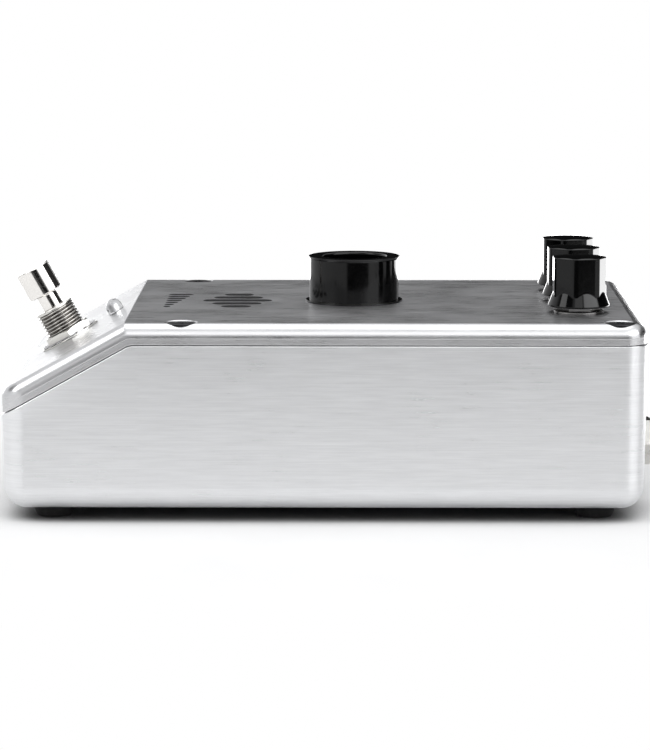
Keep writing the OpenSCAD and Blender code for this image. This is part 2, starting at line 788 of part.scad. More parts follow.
base_tub();
top_cover();
cover_screws();
rubber_feet();
foot_screws();
tube_collar();
collar_locknut();
driver_gasket();
driver_pole_piece();
driver_magnet();
driver_rear_plate();
driver_voice_coil();
driver_diaphragm();
driver_rear_cap();
driver_cap_screws();
driver_terminals();
driver_wires();
amp_board();
board_standoffs();
board_screws();
amp_heatsink();
amp_chip();
amp_capacitors();
control_board();
potentiometers();
pot_pins();
pot_washers();
pot_nuts();
control_ribbon();
footswitch_body();
footswitch_inner_nut();
footswitch_flat_washer();
footswitch_lock_washer();
footswitch_nut();
footswitch_spring();
footswitch_terminals();
footswitch_wires();
footswitch_plunger();
indicator_led();
led_holder();
led_board();
instrument_jacks();
jack_washers();
jack_nuts();
jack_tabs();
dc_jack();
dc_jack_pin();
dc_jack_nut();
jack_board();
one_knob(0);  // volume_knob
one_shaft(0);  // volume_shaft
one_set_screw(0);  // volume_set_screw
one_knob(1);  // gain_knob
one_shaft(1);  // gain_shaft
one_set_screw(1);  // gain_set_screw
one_knob(2);  // tone_knob
one_shaft(2);  // tone_shaft
one_set_screw(2);  // tone_set_screw
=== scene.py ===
"""A foot pedal in a brushed metal case: tub, lid, knobs, collar, stomp switch, lamp and jacks.

X runs along the case: the lid slopes down to the -X end and carries the stomp switch and lamp
there; the knobs stand near the +X end, whose wall holds the jacks. Y runs across, Z is up and the
floor is z = 0. The camera looks along +Y. Shapes are drawn in mm and scaled to metres.
"""
import math
from collections import namedtuple

import bmesh
import bpy
from mathutils import Matrix, Vector


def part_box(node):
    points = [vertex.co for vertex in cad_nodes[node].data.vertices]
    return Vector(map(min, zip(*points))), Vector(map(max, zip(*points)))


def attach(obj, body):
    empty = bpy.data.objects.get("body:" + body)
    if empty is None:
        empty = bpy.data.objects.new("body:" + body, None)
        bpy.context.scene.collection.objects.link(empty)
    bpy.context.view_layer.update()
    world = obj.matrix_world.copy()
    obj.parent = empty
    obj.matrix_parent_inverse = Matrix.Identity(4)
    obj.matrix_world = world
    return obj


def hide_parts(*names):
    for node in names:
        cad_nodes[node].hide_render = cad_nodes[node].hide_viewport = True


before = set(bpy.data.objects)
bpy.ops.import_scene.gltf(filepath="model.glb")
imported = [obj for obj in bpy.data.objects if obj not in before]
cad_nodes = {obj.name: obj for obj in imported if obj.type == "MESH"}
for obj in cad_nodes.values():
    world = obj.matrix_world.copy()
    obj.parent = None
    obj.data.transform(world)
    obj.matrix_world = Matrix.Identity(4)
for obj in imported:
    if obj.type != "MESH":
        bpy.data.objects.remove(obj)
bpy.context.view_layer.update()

MM = 0.001
scene = bpy.context.scene


# ---------------------------------------------------------------- places, from the CAD pieces (mm)
def box_mm(node):
    lo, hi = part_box(node)
    return lo * 1000, hi * 1000


tub_lo, tub_hi = box_mm("base_tub")
feet_lo, feet_hi = box_mm("rubber_feet")
collar_lo, collar_hi = box_mm("tube_collar")
LOW_X, HIGH_X = tub_lo.x, tub_hi.x
HALF_WIDTH = tub_hi.y
BASE = tub_lo.z
TOP = box_mm("top_cover")[1].z

SLOPE = math.radians(29)                 # of the ramp at the -X end
SIN, COS = math.sin(SLOPE), math.cos(SLOPE)
CREASE_X = LOW_X + 36.1                  # where ramp and flat top meet
COLLAR_X = (collar_lo.x + collar_hi.x) / 2
COLLAR_BOTTOM = collar_lo.z
KNOB_X = HIGH_X - 18.6
KNOBS = [("volume", -27.7), ("gain", 0.0), ("tone", 27.7)]      # name, y
SCREWS = [(x, y) for x in (LOW_X + 52.6, HIGH_X - 8.2) for y in (-52.2, 52.2)]
FEET = [(x, y) for x in (feet_lo.x + 6.5, feet_hi.x - 6.5) for y in (-43.5, 43.5)]
BOARD_HOLES = [(x, y) for x in (-56.1, 47.9) for y in (40, -40)]
JACK_Z = BASE + 16.6
JACK_YS = (-30.0, 30.0)


def at(x, y, z=0):
    return Matrix.Translation((x, y, z))


def on_ramp(distance):
    """Frame on the ramp, distance down from the crease, with its Z square to the ramp."""
    tilt = Matrix(((COS, 0, -SIN), (0, 1, 0), (SIN, 0, COS))).to_4x4()
    return at(CREASE_X - distance * COS, 0, TOP - distance * SIN) @ tilt


SWITCH = on_ramp(23.1)
LAMP = on_ramp(6.9)
Z_TO_X = Matrix(((0, 0, 1), (0, 1, 0), (-1, 0, 0))).to_4x4()    # turns local Z to +X


# ---------------------------------------------------------------- shapes
class Shape:
    """Vertices in mm, and faces with a texture coordinate at every corner and a slot number."""

    def __init__(self):
        self.points, self.faces, self.uvs, self.slots = [], [], [], []

    def face(self, points, uvs=None, slot=0):
        first = len(self.points)
        self.points.extend(Vector(p) for p in points)
        self.faces.append(list(range(first, first + len(points))))
        self.uvs.append(uvs or [(p[0], p[1]) for p in points])
        self.slots.append(slot)

    def grid(self, rows, us, vs, slot=0, flip=False, level=False):
        """Faces between rows[j][i], textured by us[i] and vs[j].

        With level, the second texture coordinate is the height, lowered by 0.6 of vs[j].
        """
        for j in range(len(rows) - 1):
            for i in range(len(rows[j]) - 1):
                quad = [rows[j][i], rows[j][i + 1], rows[j + 1][i + 1], rows[j + 1][i]]
                uvs = [(us[i], vs[j]), (us[i + 1], vs[j]),
                       (us[i + 1], vs[j + 1]), (us[i], vs[j + 1])]
                if level:
                    uvs = [(uv[0], p.z - 0.6 * abs(uv[1])) for uv, p in zip(uvs, quad)]
                if flip:
                    quad.reverse()
                    uvs.reverse()
                keep = [k for k in range(4) if (quad[k] - quad[k - 1]).length > 1e-6]
                if len(keep) >= 3:
                    self.face([quad[k] for k in keep], [uvs[k] for k in keep], slot)

    def add(self, other, place=None):
        first = len(self.points)
        self.points.extend((place @ p) if place else p for p in other.points)
        self.faces.extend([k + first for k in face] for face in other.faces)
        self.uvs.extend(other.uvs)
        self.slots.extend(other.slots)


def turn(n, start=0.0):
    """n angles round a circle, and the first one again."""
    angles = [2 * math.pi * i / n + start for i in range(n)]
    return angles + angles[:1]


def ring(angles, radius, z):
    """Points round Z; radius is a number or a function of the angle."""
    radii = [radius(a) if callable(radius) else radius for a in angles]
    return [Vector((r * math.cos(a), r * math.sin(a), z)) for r, a in zip(radii, angles)]


def lathe(profile, n=96):
    """Turns a profile of (radius, z) about Z and closes it on its first point."""
    shape = Shape()
    profile = list(profile)
    if profile[0] != profile[-1]:
        profile.append(profile[0])
    vs = [0.0]
    for a, b in zip(profile, profile[1:]):
        vs.append(vs[-1] + math.dist(a, b))
    angles = turn(n)
    us = [2 * math.pi * i / n * 10 for i in range(n + 1)]
    shape.grid([ring(angles, r, z) for r, z in profile], us, vs)
    return shape


def plug(radius, z0, z1, n):
    """Plain cylinder, for cutting a hole."""
    return lathe([(0.0, z0), (radius, z0), (radius, z1), (0.0, z1)], n)


def arc(cx, cz, r, a0, a1, n):
    """n + 1 points from angle a0 to a1, in degrees."""
    angles = [math.radians(a0 + (a1 - a0) * i / n) for i in range(n + 1)]
    return [(cx + r * math.cos(a), cz + r * math.sin(a)) for a in angles]


def prism(outline, z0, z1, bevel=0.0):
    """Straight prism of a polygon, with its two rims chamfered by bevel."""
    shape = Shape()
    n = len(outline)

    def inset(distance, z):
        points = []
        for i in range(n):
            before, here, after = (Vector(outline[(i + k) % n]) for k in (-1, 0, 1))
            d0, d1 = (here - before).normalized(), (after - here).normalized()
            inward = Vector((-d0.y, d0.x)) + Vector((-d1.y, d1.x))
            inward /= max(inward.length_squared / 2, 0.3)
            p = here + inward * distance
            points.append(Vector((p.x, p.y, z)))
        return points

    levels = [(0, z0), (0, z1)]
    if bevel:
        levels = [(bevel, z0), (0, z0 + bevel), (0, z1 - bevel), (bevel, z1)]
    rings = [inset(distance, z) for distance, z in levels]
    rows = [r + [r[0]] for r in rings]
    us = [0.0]
    for a, b in zip(rows[0], rows[0][1:]):
        us.append(us[-1] + (b - a).length)
    shape.grid(rows, us, [z for _, z in levels])
    shape.face(list(reversed(rings[0])))
    shape.face(rings[-1])
    return shape


def rounded_box(x0, x1, y0, y1, z0, z1, r, bevel=0.0):
    painted_corner_shade = ((x1 - r, y1 - r, 0), (x0 + r, y1 - r, 90), (x0 + r, y0 + r, 180), (x1 - r, y0 + r, 270))
    points = []
    for cx, cy, a0 in painted_corner_shade:
        points += arc(cx, cy, r, a0, a0 + 90, 6)
    return prism(points, z0, z1, bevel)


# ---------------------------------------------------------------- objects
def make(name, shape, place=None):
    """Object from a shape in mm, its mesh moved by place."""
    bm = bmesh.new()
    uv_layer = bm.loops.layers.uv.new("UVMap")
    verts = [bm.verts.new(p * MM) for p in shape.points]
    for indices, uvs, slot in zip(shape.faces, shape.uvs, shape.slots):
        face = bm.faces.new([verts[i] for i in indices])
        face.material_index = slot
        for loop, uv in zip(face.loops, uvs):
            loop[uv_layer].uv = (uv[0] * MM, uv[1] * MM)
    bmesh.ops.remove_doubles(bm, verts=bm.verts, dist=1e-4 * MM)
    bmesh.ops.dissolve_degenerate(bm, edges=bm.edges, dist=1e-9)
    loose = [v for v in bm.verts if not v.link_faces]
    bmesh.ops.delete(bm, geom=loose, context="VERTS")
    bmesh.ops.recalc_face_normals(bm, faces=bm.faces)
    mesh = bpy.data.meshes.new(name)
    bm.to_mesh(mesh)
    bm.free()
    if place is not None:
        offset = Matrix.Translation(place.to_translation() * MM)
        mesh.transform(offset @ place.to_3x3().to_4x4())
    o = bpy.data.objects.new(name, mesh)
    scene.collection.objects.link(o)
    return o


def cut(o, cutters):
    """Takes (shape, place) cutters or finished cutter objects from o, one after the other."""
    cutters = [make("cutter", *c) if isinstance(c, tuple) else c for c in cutters]
    for c in cutters:
        mod = o.modifiers.new("cut", "BOOLEAN")
        mod.operation = "DIFFERENCE"
        mod.solver = "EXACT"
        mod.object = c
    bpy.context.view_layer.update()
    depsgraph = bpy.context.evaluated_depsgraph_get()
    mesh = bpy.data.meshes.new_from_object(o.evaluated_get(depsgraph))
    o.modifiers.clear()
    old = o.data
    o.data = mesh
    bpy.data.meshes.remove(old)
    for c in cutters:
        data = c.data
        bpy.data.objects.remove(c)
        bpy.data.meshes.remove(data)
    bm = bmesh.new()
    bm.from_mesh(o.data)
    bmesh.ops.remove_doubles(bm, verts=bm.verts, dist=1e-8)
    bmesh.ops.dissolve_degenerate(bm, edges=bm.edges, dist=1e-8)
    bm.to_mesh(o.data)
    bm.free()
    return o


def cut_with_slot(o, cutters, mats, slot):
    """Cuts o, giving the new faces the numbered material slot."""
    cutters = [make("cutter", shape, place) for shape, place in cutters]
    for piece_ in [o] + cutters:
        for mat in mats:
            piece_.data.materials.append(mat)
    for c in cutters:
        for polygon in c.data.polygons:
            polygon.material_index = slot
    cut(o, cutters)


def finish(o, mats, slot, replaces=None, body="case", angle=34, weighted=True):
    """Materials and shading, then the piece's body and the CAD node it replaces; slot is not used."""
    mesh = o.data
    mesh.materials.clear()
    for mat in mats if isinstance(mats, list) else [mats]:
        mesh.materials.append(mat)
    mesh.shade_smooth()
    mesh.set_sharp_from_angle(angle=math.radians(angle))
    if weighted:
        mod = o.modifiers.new("weighted", "WEIGHTED_NORMAL")
        mod.keep_sharp = True
        mod.mode = "FACE_AREA"
    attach(o, body)
    if replaces:
        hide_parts(replaces)


def piece(name, shape, place, mats, slot, **options):
    finish(make(name, shape, place), mats, slot, **options)


# ---------------------------------------------------------------- shader graphs
class Graph:
    def __init__(self, tree):
        self.tree = tree
        tree.nodes.clear()

    def feed(self, socket, value):
        """Sets a socket to a number or tuple, or links an output to it."""
        if isinstance(value, (int, float)):
            socket.default_value = value
        elif isinstance(value, tuple):
            socket.default_value = (*value, 1.0) if socket.type == "RGBA" else value
        else:
            self.tree.links.new(value, socket)

    def node(self, kind, inputs=None, **settings):
        node = self.tree.nodes.new(kind)
        for key, value in settings.items():
            setattr(node, key, value)
        for key, value in (inputs or {}).items():
            self.feed(node.inputs[key], value)
        return node

    def coord(self, output="Object"):
        return self.node("ShaderNodeTexCoord").outputs[output]

    def split(self, vector):
        return self.node("ShaderNodeSeparateXYZ", {0: vector}).outputs

    def mapped(self, source, scale, shift=(0, 0, 0)):
        inputs = {"Scale": scale, "Location": shift, "Vector": source}
        return self.node("ShaderNodeMapping", inputs).outputs[0]

    def noise(self, source, scale=1.0, detail=3, rough=0.6, distortion=0.0):
        inputs = {"Scale": scale, "Detail": detail, "Roughness": rough,
                  "Distortion": distortion, "Vector": source}
        return self.node("ShaderNodeTexNoise", inputs).outputs[0]

    def ramp(self, source, span, to=(0.0, 1.0), smooth=False):
        """Maps span to the range in to, clamped; smooth eases both ends."""
        inputs = {"From Min": span[0], "From Max": span[1],
                  "To Min": to[0], "To Max": to[1], "Value": source}
        kind = "SMOOTHSTEP" if smooth else "LINEAR"
        return self.node("ShaderNodeMapRange", inputs, interpolation_type=kind).outputs[0]

    def rise(self, source, a, b):
        return self.ramp(source, (a, b), smooth=True)

    def fall(self, source, a, b):
        return self.ramp(source, (a, b), to=(1.0, 0.0), smooth=True)

    def band(self, source, rise, fall):
        """1 between the rising and the falling span."""
        return self.mul(self.rise(source, *rise), self.fall(source, *fall))

    def window(self, source, a, b, soft):
        """1 between a and b, with edges soft to either side."""
        return self.band(source, (a - soft, a + soft), (b - soft, b + soft))

    def math(self, op, a, b, clamp=False):
        return self.node("ShaderNodeMath", {0: a, 1: b}, operation=op, use_clamp=clamp).outputs[0]

    def add(self, a, b):
        return self.math("ADD", a, b)

    def sub(self, a, b):
        return self.math("SUBTRACT", a, b)

    def mul(self, a, b):
        return self.math("MULTIPLY", a, b)

    def azimuth(self, xyz):
        """Angle about Z: 0 towards -Y, growing towards +X."""
        return self.math("ARCTAN2", xyz["X"], self.mul(xyz["Y"], -1.0))

    def mix(self, factor, a, b):
        return self.node("ShaderNodeMix", {0: factor, 6: a, 7: b}, data_type="RGBA").outputs[2]

    def mix_shader(self, factor, a, b):
        return self.node("ShaderNodeMixShader", {0: factor, 1: a, 2: b}).outputs[0]

    def bump(self, height, distance, strength):
        inputs = {"Distance": distance, "Strength": strength, "Height": height}
        return self.node("ShaderNodeBump", inputs).outputs[0]

    def occlusion(self, distance, samples=4):
        inputs = {"Distance": distance}
        return self.node("ShaderNodeAmbientOcclusion", inputs, samples=samples).outputs["AO"]

    def edge_wear(self, radius):
        """1 on edges, 0 on flats."""
        bevel = self.node("ShaderNodeBevel", {"Radius": radius}, samples=4)
        normal = self.node("ShaderNodeNewGeometry").outputs["Normal"]
        dot = self.node("ShaderNodeVectorMath", {0: bevel.outputs[0], 1: normal},
                        operation="DOT_PRODUCT")
        return self.ramp(dot.outputs["Value"], (0.995, 0.90))


class Material(Graph):
    def __init__(self, name):
        self.mat = bpy.data.materials.new(name)
        self.mat.use_nodes = True
        super().__init__(self.mat.node_tree)
        self.out = self.node("ShaderNodeOutputMaterial")
        self.principled = self.node("ShaderNodeBsdfPrincipled")
        self.feed(self.out.inputs[0], self.principled.outputs[0])

    def set(self, **inputs):
        """Principled inputs, with underscores for spaces."""
        for key, value in inputs.items():
            self.feed(self.principled.inputs[key.replace("_", " ")], value)


def tint(color, factor, lift=0.0):
    return tuple(min(1, c * factor + lift) for c in color)


def brushed(name, base, rough, along, across, amount, aniso, bump=1.0, speck=0.0, edge=1.0):
    """Metal brushed along U, with streaks in tone, roughness and height.

    along and across are the streaks' frequencies, amount the contrast in tone, speck the
    strength of fine light and dark spots, edge the tint of grazing reflections.
    """
    m = Material(name)
    uv = m.coord("UV")

    def streaks(length, width, detail, rough, shift=(0, 0, 0), depth=1):
        scale = (along * length, across * width, depth)
        return m.noise(m.mapped(uv, scale, shift), detail=detail, rough=rough)

    fine = streaks(1, 1, detail=4, rough=0.65)
    middle = streaks(3.1, 0.28, detail=3, rough=0.6, shift=(3.1, 7.7, 1.3))
    wide = streaks(0.35, 0.045, detail=3, rough=0.55, shift=(9.1, 2.7, 5.3))
    streak = m.add(m.mul(fine, 0.5), m.mul(middle, 0.5))
    local = m.coord()
    cloud = m.noise(local, scale=38.0, detail=4)

    # tone: fine streaks, then faint wide streaks and clouds
    color = m.mix(m.ramp(streak, (0.25, 0.75)),
                  tint(base, 1 - amount * 1.6), tint(base, 1 + amount * 0.55))
    color = m.mix(m.ramp(wide, (0.3, 0.72), to=(0.0, 0.12)), color, tint(base, 1 - amount))
    color = m.mix(m.ramp(cloud, (0.35, 0.75), to=(0.0, 0.06)), color, tint(base, 1 - amount * 1.2))
    roughness = m.add(m.ramp(streak, (0.3, 0.7), to=(rough - 0.05, rough + 0.07)),
                      m.ramp(cloud, (0.3, 0.7), to=(-0.02, 0.03)))
    height = m.add(m.mul(fine, 0.7), m.mul(middle, 0.35))
    if speck:
        spots = m.ramp(m.noise(local, scale=1500.0, detail=2, rough=0.5), (0.60, 0.74))
        color = m.mix(m.mul(spots, speck), color, tint(base, 1.7, lift=0.06))
        pits = m.ramp(m.noise(local, scale=1150.0, detail=2, rough=0.5), (0.63, 0.75))
        color = m.mix(m.mul(pits, speck), color, tint(base, 0.45))
        roughness = m.add(roughness, m.mul(spots, 0.12))
    # rare long scratches
    scratch = streaks(0.5, 0.5, detail=1, rough=0.4, shift=(1.7, 4.4, 8.8), depth=0.5)
    scratch = m.ramp(scratch, (0.73, 0.78))
    color = m.mix(m.mul(scratch, 0.35), color, tint(base, 1.15))
    height = m.sub(height, m.mul(scratch, 0.9))
    # brighter edges
    color = m.mix(m.mul(m.edge_wear(radius=0.0005), 0.45), color, tint(base, 1.12))
    tangent = m.node("ShaderNodeTangent", direction_type="UV_MAP", uv_map="UVMap")
    m.set(Base_Color=color, Metallic=1.0, Roughness=roughness, Specular_Tint=(edge, edge, edge),
          Normal=m.bump(height, distance=0.000012 * bump, strength=0.9),
          Anisotropic=aniso, Anisotropic_Rotation=0.25, Tangent=tangent.outputs[0])
    return m.mat


def metal(name, base, rough, grain=2600.0, amount=0.08, bump=0.6, wear=0.4, smudge=0.10,
          corner_shade=0.35, streak_axis=None):
    """Plated or machined metal: fine grain, smudges, brighter edges and painted shade in the corners.
    """
    m = Material(name)
    local = m.coord()
    fine = m.noise(local, scale=grain)
    smudges = m.noise(local, scale=260.0, detail=4, rough=0.62, distortion=0.4)
    color = m.mix(m.ramp(fine, (0.35, 0.65)), tint(base, 1 - amount), tint(base, 1 + amount * 0.5))
    color = m.mix(m.ramp(smudges, (0.45, 0.75), to=(0.0, 0.35)), color,
                  tint(base, 1 - amount * 2.2))
    roughness = m.add(m.ramp(smudges, (0.35, 0.7), to=(rough, rough + smudge)),
                      m.ramp(fine, (0.3, 0.7), to=(-0.02, 0.03)))
    height = m.add(m.mul(fine, 0.7), m.mul(smudges, 0.4))
    if streak_axis is not None:
        scale = tuple(60.0 if axis == streak_axis else 3000.0 for axis in range(3))
        streak = m.noise(m.mapped(local, scale))
        height = m.add(height, m.mul(streak, 0.8))
        color = m.mix(m.ramp(streak, (0.35, 0.7), to=(0.0, 0.3)), color, tint(base, 1 - amount * 2))
    color = m.mix(m.mul(m.edge_wear(radius=0.0003), wear), color, tint(base, 1.25, lift=0.05))
    # painted shade: the colour darkens where an occlusion mask finds corners and recesses
    painted_corner_shade = m.ramp(m.occlusion(distance=0.0015), (0.2, 0.85), to=(corner_shade, 0.0))
    color = m.mix(painted_corner_shade, color, tint(base, 0.2))
    m.set(Base_Color=color, Metallic=1.0, Roughness=roughness,
          Normal=m.bump(height, distance=0.00001 * bump, strength=0.8))
    return m.mat


def plastic(name, base, rough, grain=1400.0, bump=1.0, spec=0.5, coat=0.0, mottled=0.25,
            dust=0.12, sub=0.0, wear=0.25, smudge=0.12):
    """Moulded plastic or rubber: grain, mottling, smudges and a little dust."""
    m = Material(name)
    local = m.coord()
    fine = m.noise(local, scale=grain)
    mottle = m.noise(local, scale=220.0, detail=4, distortion=0.3)
    color = m.mix(m.ramp(mottle, (0.35, 0.7)), tint(base, 1 - mottled * 0.6),
                  tint(base, 1 + mottled, lift=0.0004))
    if dust:
        normal = m.node("ShaderNodeNewGeometry").outputs["Normal"]
        facing_up = m.ramp(m.split(normal)["Z"], (0.3, 1.0))
        specks = m.ramp(m.noise(local, scale=2400.0, detail=2, rough=0.5), (0.60, 0.72))
        color = m.mix(m.mul(m.mul(facing_up, specks), dust), color, (0.55, 0.54, 0.52))
    if wear:
        color = m.mix(m.mul(m.edge_wear(radius=0.0003), wear), color, tint(base, 2.2, lift=0.03))
    roughness = m.add(m.ramp(mottle, (0.35, 0.7), to=(rough, rough + smudge)),
                      m.ramp(fine, (0.3, 0.7), to=(-0.03, 0.04)))
    height = m.add(m.mul(fine, 1.0), m.mul(mottle, 0.5))
    m.set(Base_Color=color, Metallic=0.0, Roughness=roughness, Specular_IOR_Level=spec,
          Normal=m.bump(height, distance=0.000012 * bump, strength=0.8))
    if coat:
        m.set(Coat_Weight=coat, Coat_Roughness=0.06)
    if sub:
        m.set(Subsurface_Weight=sub, Subsurface_Scale=0.002)
    return m.mat


def clear_epoxy():
    m = Material("led_clear_epoxy")
    smudges = m.noise(m.coord(), scale=600.0)
    m.set(Base_Color=(0.97, 0.975, 0.98), Transmission_Weight=1.0, IOR=1.50,
          Roughness=m.ramp(smudges, (0.35, 0.7), to=(0.02, 0.10)),
          Normal=m.bump(smudges, distance=0.000008, strength=0.5))
    return m.mat


def circuit_board():
    """Green board with a brick pattern of traces and round bright pads."""
    m = Material("circuit_board_green")
    local = m.coord()
    traces = m.node("ShaderNodeTexBrick", {
        "Scale": 230.0, "Mortar Size": 0.035, "Color1": (0.010, 0.085, 0.030),
        "Color2": (0.012, 0.105, 0.038), "Mortar": (0.035, 0.19, 0.075), "Vector": local})
    cells = m.node("ShaderNodeTexVoronoi", {"Scale": 330.0, "Vector": local})
    pads = m.ramp(cells.outputs["Distance"], (0.16, 0.12))
    fine = m.noise(local, scale=2400.0)
    m.set(Base_Color=m.mix(pads, traces.outputs["Color"], (0.62, 0.60, 0.52)),
          Metallic=m.mul(pads, 0.9), Coat_Weight=0.3,
          Roughness=m.ramp(fine, (0.3, 0.7), to=(0.26, 0.42)),
          Normal=m.bump(m.add(m.mul(fine, 0.2), pads), distance=0.00003, strength=0.6))
    return m.mat


MAT_SIDE = brushed("case_brushed_side", (0.84, 0.845, 0.855), rough=0.30,
                   along=26, across=4200, amount=0.10, aniso=0.6)
MAT_LID = brushed("lid_satin_edge", (0.64, 0.64, 0.65), rough=0.28,
                  along=30, across=3600, amount=0.05, aniso=0.4, bump=0.5)
# painted light: the ramp's copy of the lid's brushed metal gets a much lighter tone, for the light it
# catches
MAT_RAMP_PAINTED_LIGHT = brushed("lid_ramp_painted_light", (0.90, 0.90, 0.905), rough=0.13,
                   along=40, across=3800, amount=0.04, aniso=0.3, bump=0.25)
# painted shade: the flat top's copy of the same brushed metal gets a dark tone, for the dark it
# reflects behind the case
MAT_TOP_PAINTED_SHADE = brushed("lid_top_painted_shade", (0.40, 0.40, 0.415), rough=0.19, along=90, across=5200,
                  amount=0.22, aniso=0.25, bump=0.22, speck=0.35, edge=0.50)
MAT_INSIDE = metal("case_inside_cast", (0.55, 0.55, 0.56), rough=0.45,
                   grain=900, amount=0.15, bump=3, wear=0.2)
MAT_BARE = metal("countersink_bare", (0.88, 0.88, 0.88), rough=0.18, grain=3000, amount=0.1)
MAT_SCREW = metal("screw_black_oxide", (0.045, 0.045, 0.048), rough=0.32,
                  grain=3000, amount=0.25, bump=1.0, wear=0.35, corner_shade=0.2)
MAT_COLLAR = plastic("collar_black_moulded", (0.0006, 0.0006, 0.0007), rough=0.08,
                     grain=900, bump=0.12, spec=0.26, dust=0.0, smudge=0.04, wear=0.0)
MAT_KNOB = plastic("knob_black_gloss", (0.0006, 0.0006, 0.0007), rough=0.05, grain=700,
                   bump=0.10, spec=0.26, dust=0.0, smudge=0.04, mottled=0.1, wear=0.0)
MAT_RUBBER = plastic("foot_black_rubber", (0.010, 0.010, 0.010), rough=0.72,
                     grain=1800, bump=5, spec=0.3, dust=0.2, mottled=0.4, wear=0.4)
MAT_NICKEL = metal("nickel_plate", (0.70, 0.69, 0.66), rough=0.16, smudge=0.12)
MAT_THREAD = metal("nickel_thread", (0.46, 0.445, 0.42), rough=0.08,
                   bump=0.4, smudge=0.08, corner_shade=0.9, wear=0.2)
# painted shade: a darker copy of the nickel, for the washers and nuts in the shadow of the knobs
MAT_NICKEL_PAINTED_SHADE = metal("nickel_painted_shade", (0.26, 0.255, 0.25), rough=0.12,
                        amount=0.10, bump=0.4, corner_shade=0.7, wear=0.5)
MAT_CHROME = metal("nickel_polished", (0.88, 0.86, 0.83), rough=0.07,
                   amount=0.04, bump=0.2, smudge=0.07, corner_shade=0.2, wear=0.2)
MAT_ZINC = metal("zinc_plate", (0.62, 0.62, 0.63), rough=0.30, amount=0.14, bump=1.4)
MAT_STEEL = metal("steel_turned", (0.52, 0.52, 0.53), rough=0.32, amount=0.12, bump=1.2)
MAT_PRINT = plastic("ink_black_print", (0.007, 0.007, 0.0075), rough=0.5,
                    grain=3200, bump=2.0, spec=0.12, dust=0.04, mottled=0.4, wear=0.0)
MAT_JACK = plastic("jack_black_moulded", (0.018, 0.018, 0.019), rough=0.34,
                   grain=1200, bump=1.5, coat=0.1, dust=0.1)
MAT_BRASS = metal("brass_contact", (0.80, 0.60, 0.28), rough=0.24, amount=0.12)
MAT_ALU = metal("aluminium_shaft", (0.80, 0.80, 0.81), rough=0.26, amount=0.1, streak_axis=2)
MAT_LED = clear_epoxy()
MAT_SWITCH = plastic("switch_body_blue", (0.02, 0.05, 0.16), rough=0.36, grain=900, bump=1.5)

# ---------------------------------------------------------------- the outline of the case
CORNER = 7.0           # radius of the upright corners
SEAM = 6.1             # depth of the lid's lower rim under the roof
WALL = 2.5
ROLL = 4.0             # radius of the lid's rolled edge
CREASE_STEPS = 10
CREASE_ROUND = 1.2     # radius of the crease at the surface, growing by
CREASE_GROWTH = 3.8    # this much over
CREASE_DEPTH = 6.6     # this depth

# (nx, ny) is the outward normal and run the length so far. crease is None at a plain wall;
# across the roof's rounded crease it runs from 0 on the flat to 1 on the ramp.
Station = namedtuple("Station", "x y nx ny run crease")


def outline():
    """Stations round the case, from the -X end of the -Y side; the last repeats the first."""
    stations = []
    xa, xb = LOW_X + CORNER, HIGH_X - CORNER
    yb = HALF_WIDTH - CORNER

    def push(x, y, nx, ny, crease=None):
        run = 0.0
        if stations:
            last = stations[-1]
            run = last.run + math.dist((x, y), (last.x, last.y))
        stations.append(Station(x, y, nx, ny, run, crease))

    def long_side(side):
        ramp = [(xa + (CREASE_X - 2.2 - xa) * i / 5, None) for i in range(6)]
        crease = [(CREASE_X, 1 - q / CREASE_STEPS) for q in range(CREASE_STEPS + 1)]
        flat = [(CREASE_X + 4.5 + (xb - CREASE_X - 4.5) * i / 18, None) for i in range(19)]
        for x, q in (ramp + crease + flat)[::-side]:
            push(x, side * HALF_WIDTH, 0, side, q)

    def bend(cx, cy, start, steps=12):
        for i in range(1, steps):
            a = math.radians(start + 90 * i / steps)
            push(cx + CORNER * math.cos(a), cy + CORNER * math.sin(a), math.cos(a), math.sin(a))

    def end_wall(x, side):
        for i in range(13):
            push(x, side * (-yb + 2 * yb * i / 12), side, 0)

    long_side(-1)
    bend(xb, -yb, -90)
    end_wall(HIGH_X, 1)
    bend(xb, yb, 0)
    long_side(1)
    bend(xa, yb, 90)
    end_wall(LOW_X, -1)
    bend(xa, -yb, 180)
    push(*stations[0][:4])
    return stations


def crease_point(depth, q):
    """x and z at q across the crease of the roof line moved in by depth."""
    k = CREASE_ROUND + CREASE_GROWTH * max(0.0, min(1.0, depth / CREASE_DEPTH))
    a = SLOPE * q
    cx = CREASE_X + (depth + k) * math.tan(SLOPE / 2)
    return cx - k * math.sin(a), TOP - depth - k + k * math.cos(a)


def roll_point(st, radius, wall_in, roof_in, t):
    """Point on a rolled edge, on walls and roof moved in. t is 1 at the roof, 0 at the wall."""
    if st.crease is not None:
        a = t * math.pi / 2
        x, z = crease_point(roof_in + radius * (1 - math.sin(a)), st.crease)
        return Vector((x, st.ny * (HALF_WIDTH - wall_in - radius * (1 - math.cos(a))), z))
    cx, cy = st.x - st.nx * (wall_in + radius), st.y - st.ny * (wall_in + radius)
    wall_normal = Vector((st.nx, st.ny, 0))
    if st.x < CREASE_X:
        roof_normal = Vector((-SIN, 0, COS))
        cz = TOP + (cx - CREASE_X) * math.tan(SLOPE) - (roof_in + radius) / COS
    else:
        roof_normal = Vector((0, 0, 1))
        cz = TOP - roof_in - radius
    # turn evenly from the wall's normal to the roof's
    w = math.acos(wall_normal.dot(roof_normal))
    normal = (wall_normal * math.sin((1 - t) * w) + roof_normal * math.sin(t * w)) / math.sin(w)
    return Vector((cx, cy, cz)) + radius * normal


